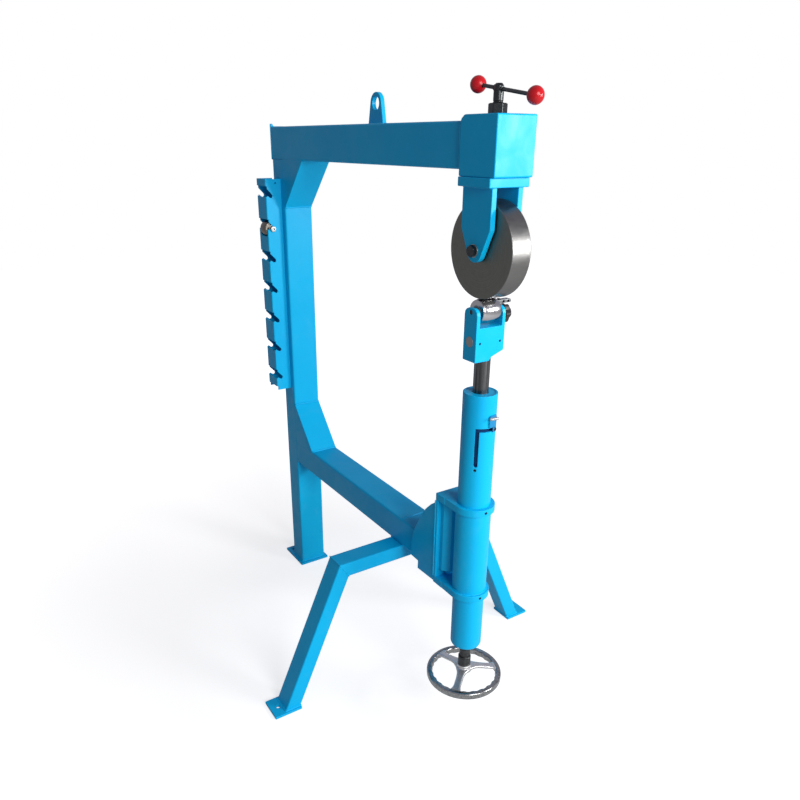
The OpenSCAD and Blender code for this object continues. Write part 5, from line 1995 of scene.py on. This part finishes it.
@dataclass
class ToolRack:
    """Slotted channel for spare anvils on the post, and the spare that hangs in it."""

    x0: float = -106.0
    width: float = 56.0
    front: float = 1018.0
    depth: float = 72.0
    thick: float = 4.0
    low: float = 755.0
    high: float = 1482.0
    foot: float = 14.0
    first: float = 47.0
    pitch: float = 104.5
    slots: int = 7
    hole: Pair = (36.0, 13.0)
    axle_x: float = -88.0
    axle_r: float = 6.0
    spare: int = 5
    spare_l: float = 44.0
    spare_r: float = 26.0

    def openings(self, level: float) -> list[Surface]:
        """Cutters of one slot: its hook through both plates and its gap in the flange.

        Args:
            level: height of the spare axle that would hang there.

        Returns:
            The cutters.
        """
        x0, ax, y0, y1, t = self.x0, self.axle_x, self.front, self.front + self.depth, self.thick
        hook = fillet([(x0 - 4, 38), (x0 + 4, 24), (ax + 4.6, 4.6), (ax + 6.2, 0),
                       (ax + 4.4, -4.4), (ax, -6.2), (ax - 4.4, -4.4), (x0 + 5, 2), (x0 - 4, 3)],
                      [1, 5, 4, 2, 2, 2, 2, 3, 1], 4) + [0, level]
        gap = fillet([(y0 - 2, -1), (y0 + 16, -4), (y1 - 16, -4), (y1 + 2, -1), (y1 + 2, 31),
                      (y0 - 2, 31)], [1, 6, 6, 1, 1, 1], 5) + [0, level]
        return [slab(flipped(hook), y0 - 3, y0 + t + 1, 0, Axis.Y),
                slab(flipped(hook), y1 - t - 1, y1 + 3, 0, Axis.Y),
                slab(gap, x0 - 3, x0 + t + 1, 0, Axis.X)]

    def build(self, shop: Workshop) -> None:
        """Builds the rack and the spare anvil.

        Args:
            shop: the workshop.
        """
        x0, x1, y0, y1, t = (self.x0, self.x0 + self.width, self.front, self.front + self.depth,
                             self.thick)
        plan = fillet([(x0, y0), (x1, y0), (x1, y0 + t), (x0 + t, y0 + t), (x0 + t, y1 - t),
                       (x1, y1 - t), (x1, y1), (x0, y1)], [4, 0.6, 0.6, 1.5, 1.5, 0.6, 0.6, 4], 6)
        levels = self.low + self.first + self.pitch * np.arange(self.slots)
        cuts = [cutter for level in levels for cutter in self.openings(level)]
        foot = rectangle(y0 - 2, y1 + 2, self.low - 3, self.low + self.foot)
        cuts.append(slab(foot, x0 - 3, x0 + t + 1, 0, Axis.X))
        z = levels[self.spare]
        relief = fillet([(y0 + t, z), (y0 + t + 1, z - 24), (y0 + t + 48, z - 24),
                         (y0 + t + 53, z - 18), (y0 + t + 53, z)], [1, 3, 4, 3, 1], 4)
        cuts.append(slab(relief, x0 - 3, x0 + t + 0.9, 0, Axis.X))
        across, down = self.hole
        cuts.append(rod(y0 - 2, y0 + t + 2, 3, Axis.Y, (x0 + across, 0, self.high - down), 40))
        shop.make("slotted_tool_rack", [slab(plan, self.low, self.high, 0.5)], ["tool_rack"],
                  cuts=cuts)
        seams = [bead([(x1, y0 + t, a), (x1, y0 + t, a + 38)], 2.4)
                 for a in (self.low + 12, 0.5 * (self.low + self.high), self.high - 55)]
        shop.make("rack_weld_seams", seams, sharp=SEAM_SHARP)
        self.spare_anvil(shop, (self.axle_x, y0, z))

    def spare_anvil(self, shop: Workshop, at: Sequence[float]) -> None:
        """Builds the spare roller and its axle.

        Args:
            shop: the workshop.
            at: where its axis meets the rack's front face.
        """
        a, run, r, bore = self.thick + 3, self.spare_l, self.spare_r, self.axle_r + 0.05
        b = a + run
        loop = fillet([(a, bore), (a, r - 3), (a + 0.3 * run, r), (a + 0.7 * run, r), (b, r - 3),
                       (b, bore)], [0.3, 1.6, 12, 12, 1.6, 0.3], 7)
        shop.make("spare_anvil_roller", [lathe(loop, Axis.Y, at, 120, ring=True)],
                  ["spare_anvil"], Finish.SPARE)
        end = self.depth + 3
        pin = lathe(rounded([(-8, 0), (-8, 9), (0, 9), (0, self.axle_r), (end, self.axle_r),
                             (end, 0)], [0, 1.4, 0.3, 0.2, 0.8, 0]), Axis.Y, at, 96)
        ring = washer(bore, 11, self.thick, a, 0.3, Axis.Y, at)
        nut = hexagon(18, b, b + 9, Axis.Y, at, bore)
        shop.make("spare_anvil_axle", [pin, ring, nut], ["spare_axle"], Finish.BRIGHT,
                  cuts=[hexagon(8, -10, -4, Axis.Y, at)])


@dataclass
class Studio:
    """White product photo studio: floor, soft lamps and the photograph's camera."""

    eye: Point = (-1.10166, -1.79022, 1.59906)
    aim: Point = (0.4901, 0.7735, -0.4019)
    roll: float = 0.2
    lens: float = 31.884
    shift: Pair = (0.0195, 0.0645)
    key_power: float = 210.0
    near_power: float = 55.0
    fill: float = 0.17
    tint: Colour = (0.95, 0.93, 1.17)
    mirror: float = 0.30
    glow: float = 0.70
    glow_run: Pair = (0.7, 2.4)
    floor_r: float = 9.0

    def camera(self) -> None:
        """Places the camera so that the view lies as in the photograph."""
        data = bpy.data.cameras.new("photo_camera")
        data.lens, data.sensor_width, data.clip_start = self.lens, 36.0, 0.05
        data.shift_x, data.shift_y = self.shift
        obj = bpy.data.objects.new("photo_camera", data)
        turn = Vector(self.aim).to_track_quat("-Z", "Y").to_matrix()
        turn = turn @ Matrix.Rotation(math.radians(self.roll), 3, "Z")
        obj.matrix_world = Matrix.Translation(self.eye) @ turn.to_4x4()
        bpy.context.scene.collection.objects.link(obj)
        bpy.context.scene.camera = obj

    @staticmethod
    def lamp(name: str, eye: Point, aim: Point, size: Pair, power: float) -> None:
        """Hangs a soft rectangular lamp.

        Args:
            name: name of the lamp.
            eye: where it hangs.
            aim: the spot that it points at.
            size: its width and height.
            power: its power in watts.
        """
        data = bpy.data.lights.new(name, "AREA")
        data.shape, data.energy = "RECTANGLE", power
        data.size, data.size_y = size
        obj = bpy.data.objects.new(name, data)
        turn = (Vector(aim) - Vector(eye)).to_track_quat("-Z", "Y").to_matrix()
        obj.matrix_world = Matrix.Translation(eye) @ turn.to_4x4()
        bpy.context.scene.collection.objects.link(obj)

    def seen(self, tree: Tree) -> Socket:
        """Gives 1 for what the camera sees, a share of it for mirrors and 0 for plain light.

        Args:
            tree: the tree that asks for it.

        Returns:
            The value.
        """
        path = tree.nodes.new("ShaderNodeLightPath").outputs
        share = maths(tree, "MULTIPLY", path["Is Glossy Ray"], self.mirror)
        either = maths(tree, "MAXIMUM", path["Is Camera Ray"], share)
        return maths(tree, "MAXIMUM", either, path["Is Transmission Ray"])

    def sky(self) -> None:
        """Lights the scene from all round, and shows plain white where nothing stands."""
        world = bpy.data.worlds.new("studio")
        bpy.context.scene.world = world
        world.use_nodes = True
        tree = world.node_tree
        seen = self.seen(tree)
        strength = place(tree, "Mix", 0, {"Factor": seen, 2: self.fill, 3: 1.0},
                         data_type="FLOAT")
        feed(tree, tree.nodes["Background"],
             {"Strength": strength, "Color": mix(tree, seen, self.tint, (1.0, 1.0, 1.0))})

    def floor(self) -> None:
        """Lays the pale floor, a disc that runs out beyond every view of the machine.

        To the camera and in mirrors it also glows, by glow near the machine and by 1 further out,
        so that it shows white around a soft shadow.
        """
        data = bpy.data.materials.new("studio_floor")
        data.use_nodes = True
        tree = data.node_tree
        tone = mix(tree, noise(tree, 3.0, 2.0), (0.47, 0.47, 0.47), (0.49, 0.49, 0.49))
        far = place(tree, "VectorMath", "Value", {0: place(tree, "TexCoord", "Object")},
                    operation="LENGTH")
        glow = spread(tree, far, *self.glow_run, self.glow, 1.0)
        feed(tree, tree.nodes["Principled BSDF"],
             {"Base Color": tone, "Roughness": 0.95, "Specular IOR Level": 0.1,
              "Emission Color": (1.0, 1.0, 1.0, 1.0),
              "Emission Strength": maths(tree, "MULTIPLY", glow, self.seen(tree))})
        mesh = bpy.data.meshes.new("studio_floor")
        points = np.insert(circle(self.floor_r, 96), 2, 0.0, axis=1)
        mesh.from_pydata(points.tolist(), [], [list(range(96))])
        mesh.materials.append(data)
        obj = bpy.data.objects.new("studio_floor", mesh)
        bpy.context.scene.collection.objects.link(obj)
        obj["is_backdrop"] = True

    def build(self) -> None:
        """Sets the studio up."""
        bpy.context.scene.view_settings.view_transform = "Standard"
        self.sky()
        self.floor()
        self.lamp("key_softbox", (-0.3, -5.0, 2.7), (0.0, 0.0, 0.8), (2.2, 2.2), self.key_power)
        self.lamp("window_softbox", (1.65, -2.45, 1.66), (0.0, -0.56, 1.59), (0.9, 0.7),
                  self.near_power)
        self.camera()


# Assembly


def main() -> None:
    """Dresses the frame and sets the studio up."""
    logging.basicConfig(level=logging.INFO, format="%(name)s: %(message)s")
    shop = Workshop(frame["nodes"])
    wheels = (
        RunningWheel("large_upper_wheel", UPPER_AXLE, radius=110.0, half=27.0, hub=8.05,
                     bearing=20.0, seat=12.0, crown=0.0, finish=Finish.WHEEL,
                     body=Body.UPPER_WHEEL, nodes=("upper_wheel", "wheel_bearings")),
        RunningWheel("crowned_anvil_wheel", LOWER_AXLE, radius=30.0, half=27.0, hub=6.05,
                     bearing=14.0, seat=8.0, crown=3.0, finish=Finish.POLISHED,
                     body=Body.ANVIL, nodes=("anvil_wheel", "anvil_bearings")),
    )
    for part in (FrameWork(), LegFrame(), Head(), Fork(), *wheels, YokeHead(), Column(),
                 Bracket(), HandWheel(), ToolRack()):
        part.build(shop)
    shop.dress_nodes(frame["record"]["subparts"])
    Studio().build()
    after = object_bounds()
    sizes = {key: [list(corner) for corner in pair] for key, pair in
             (("cad", CAD_BOX), ("visual", after))}
    LOG.info("sizes before and after: %s", sizes)


if __name__ == "__main__":
    main()
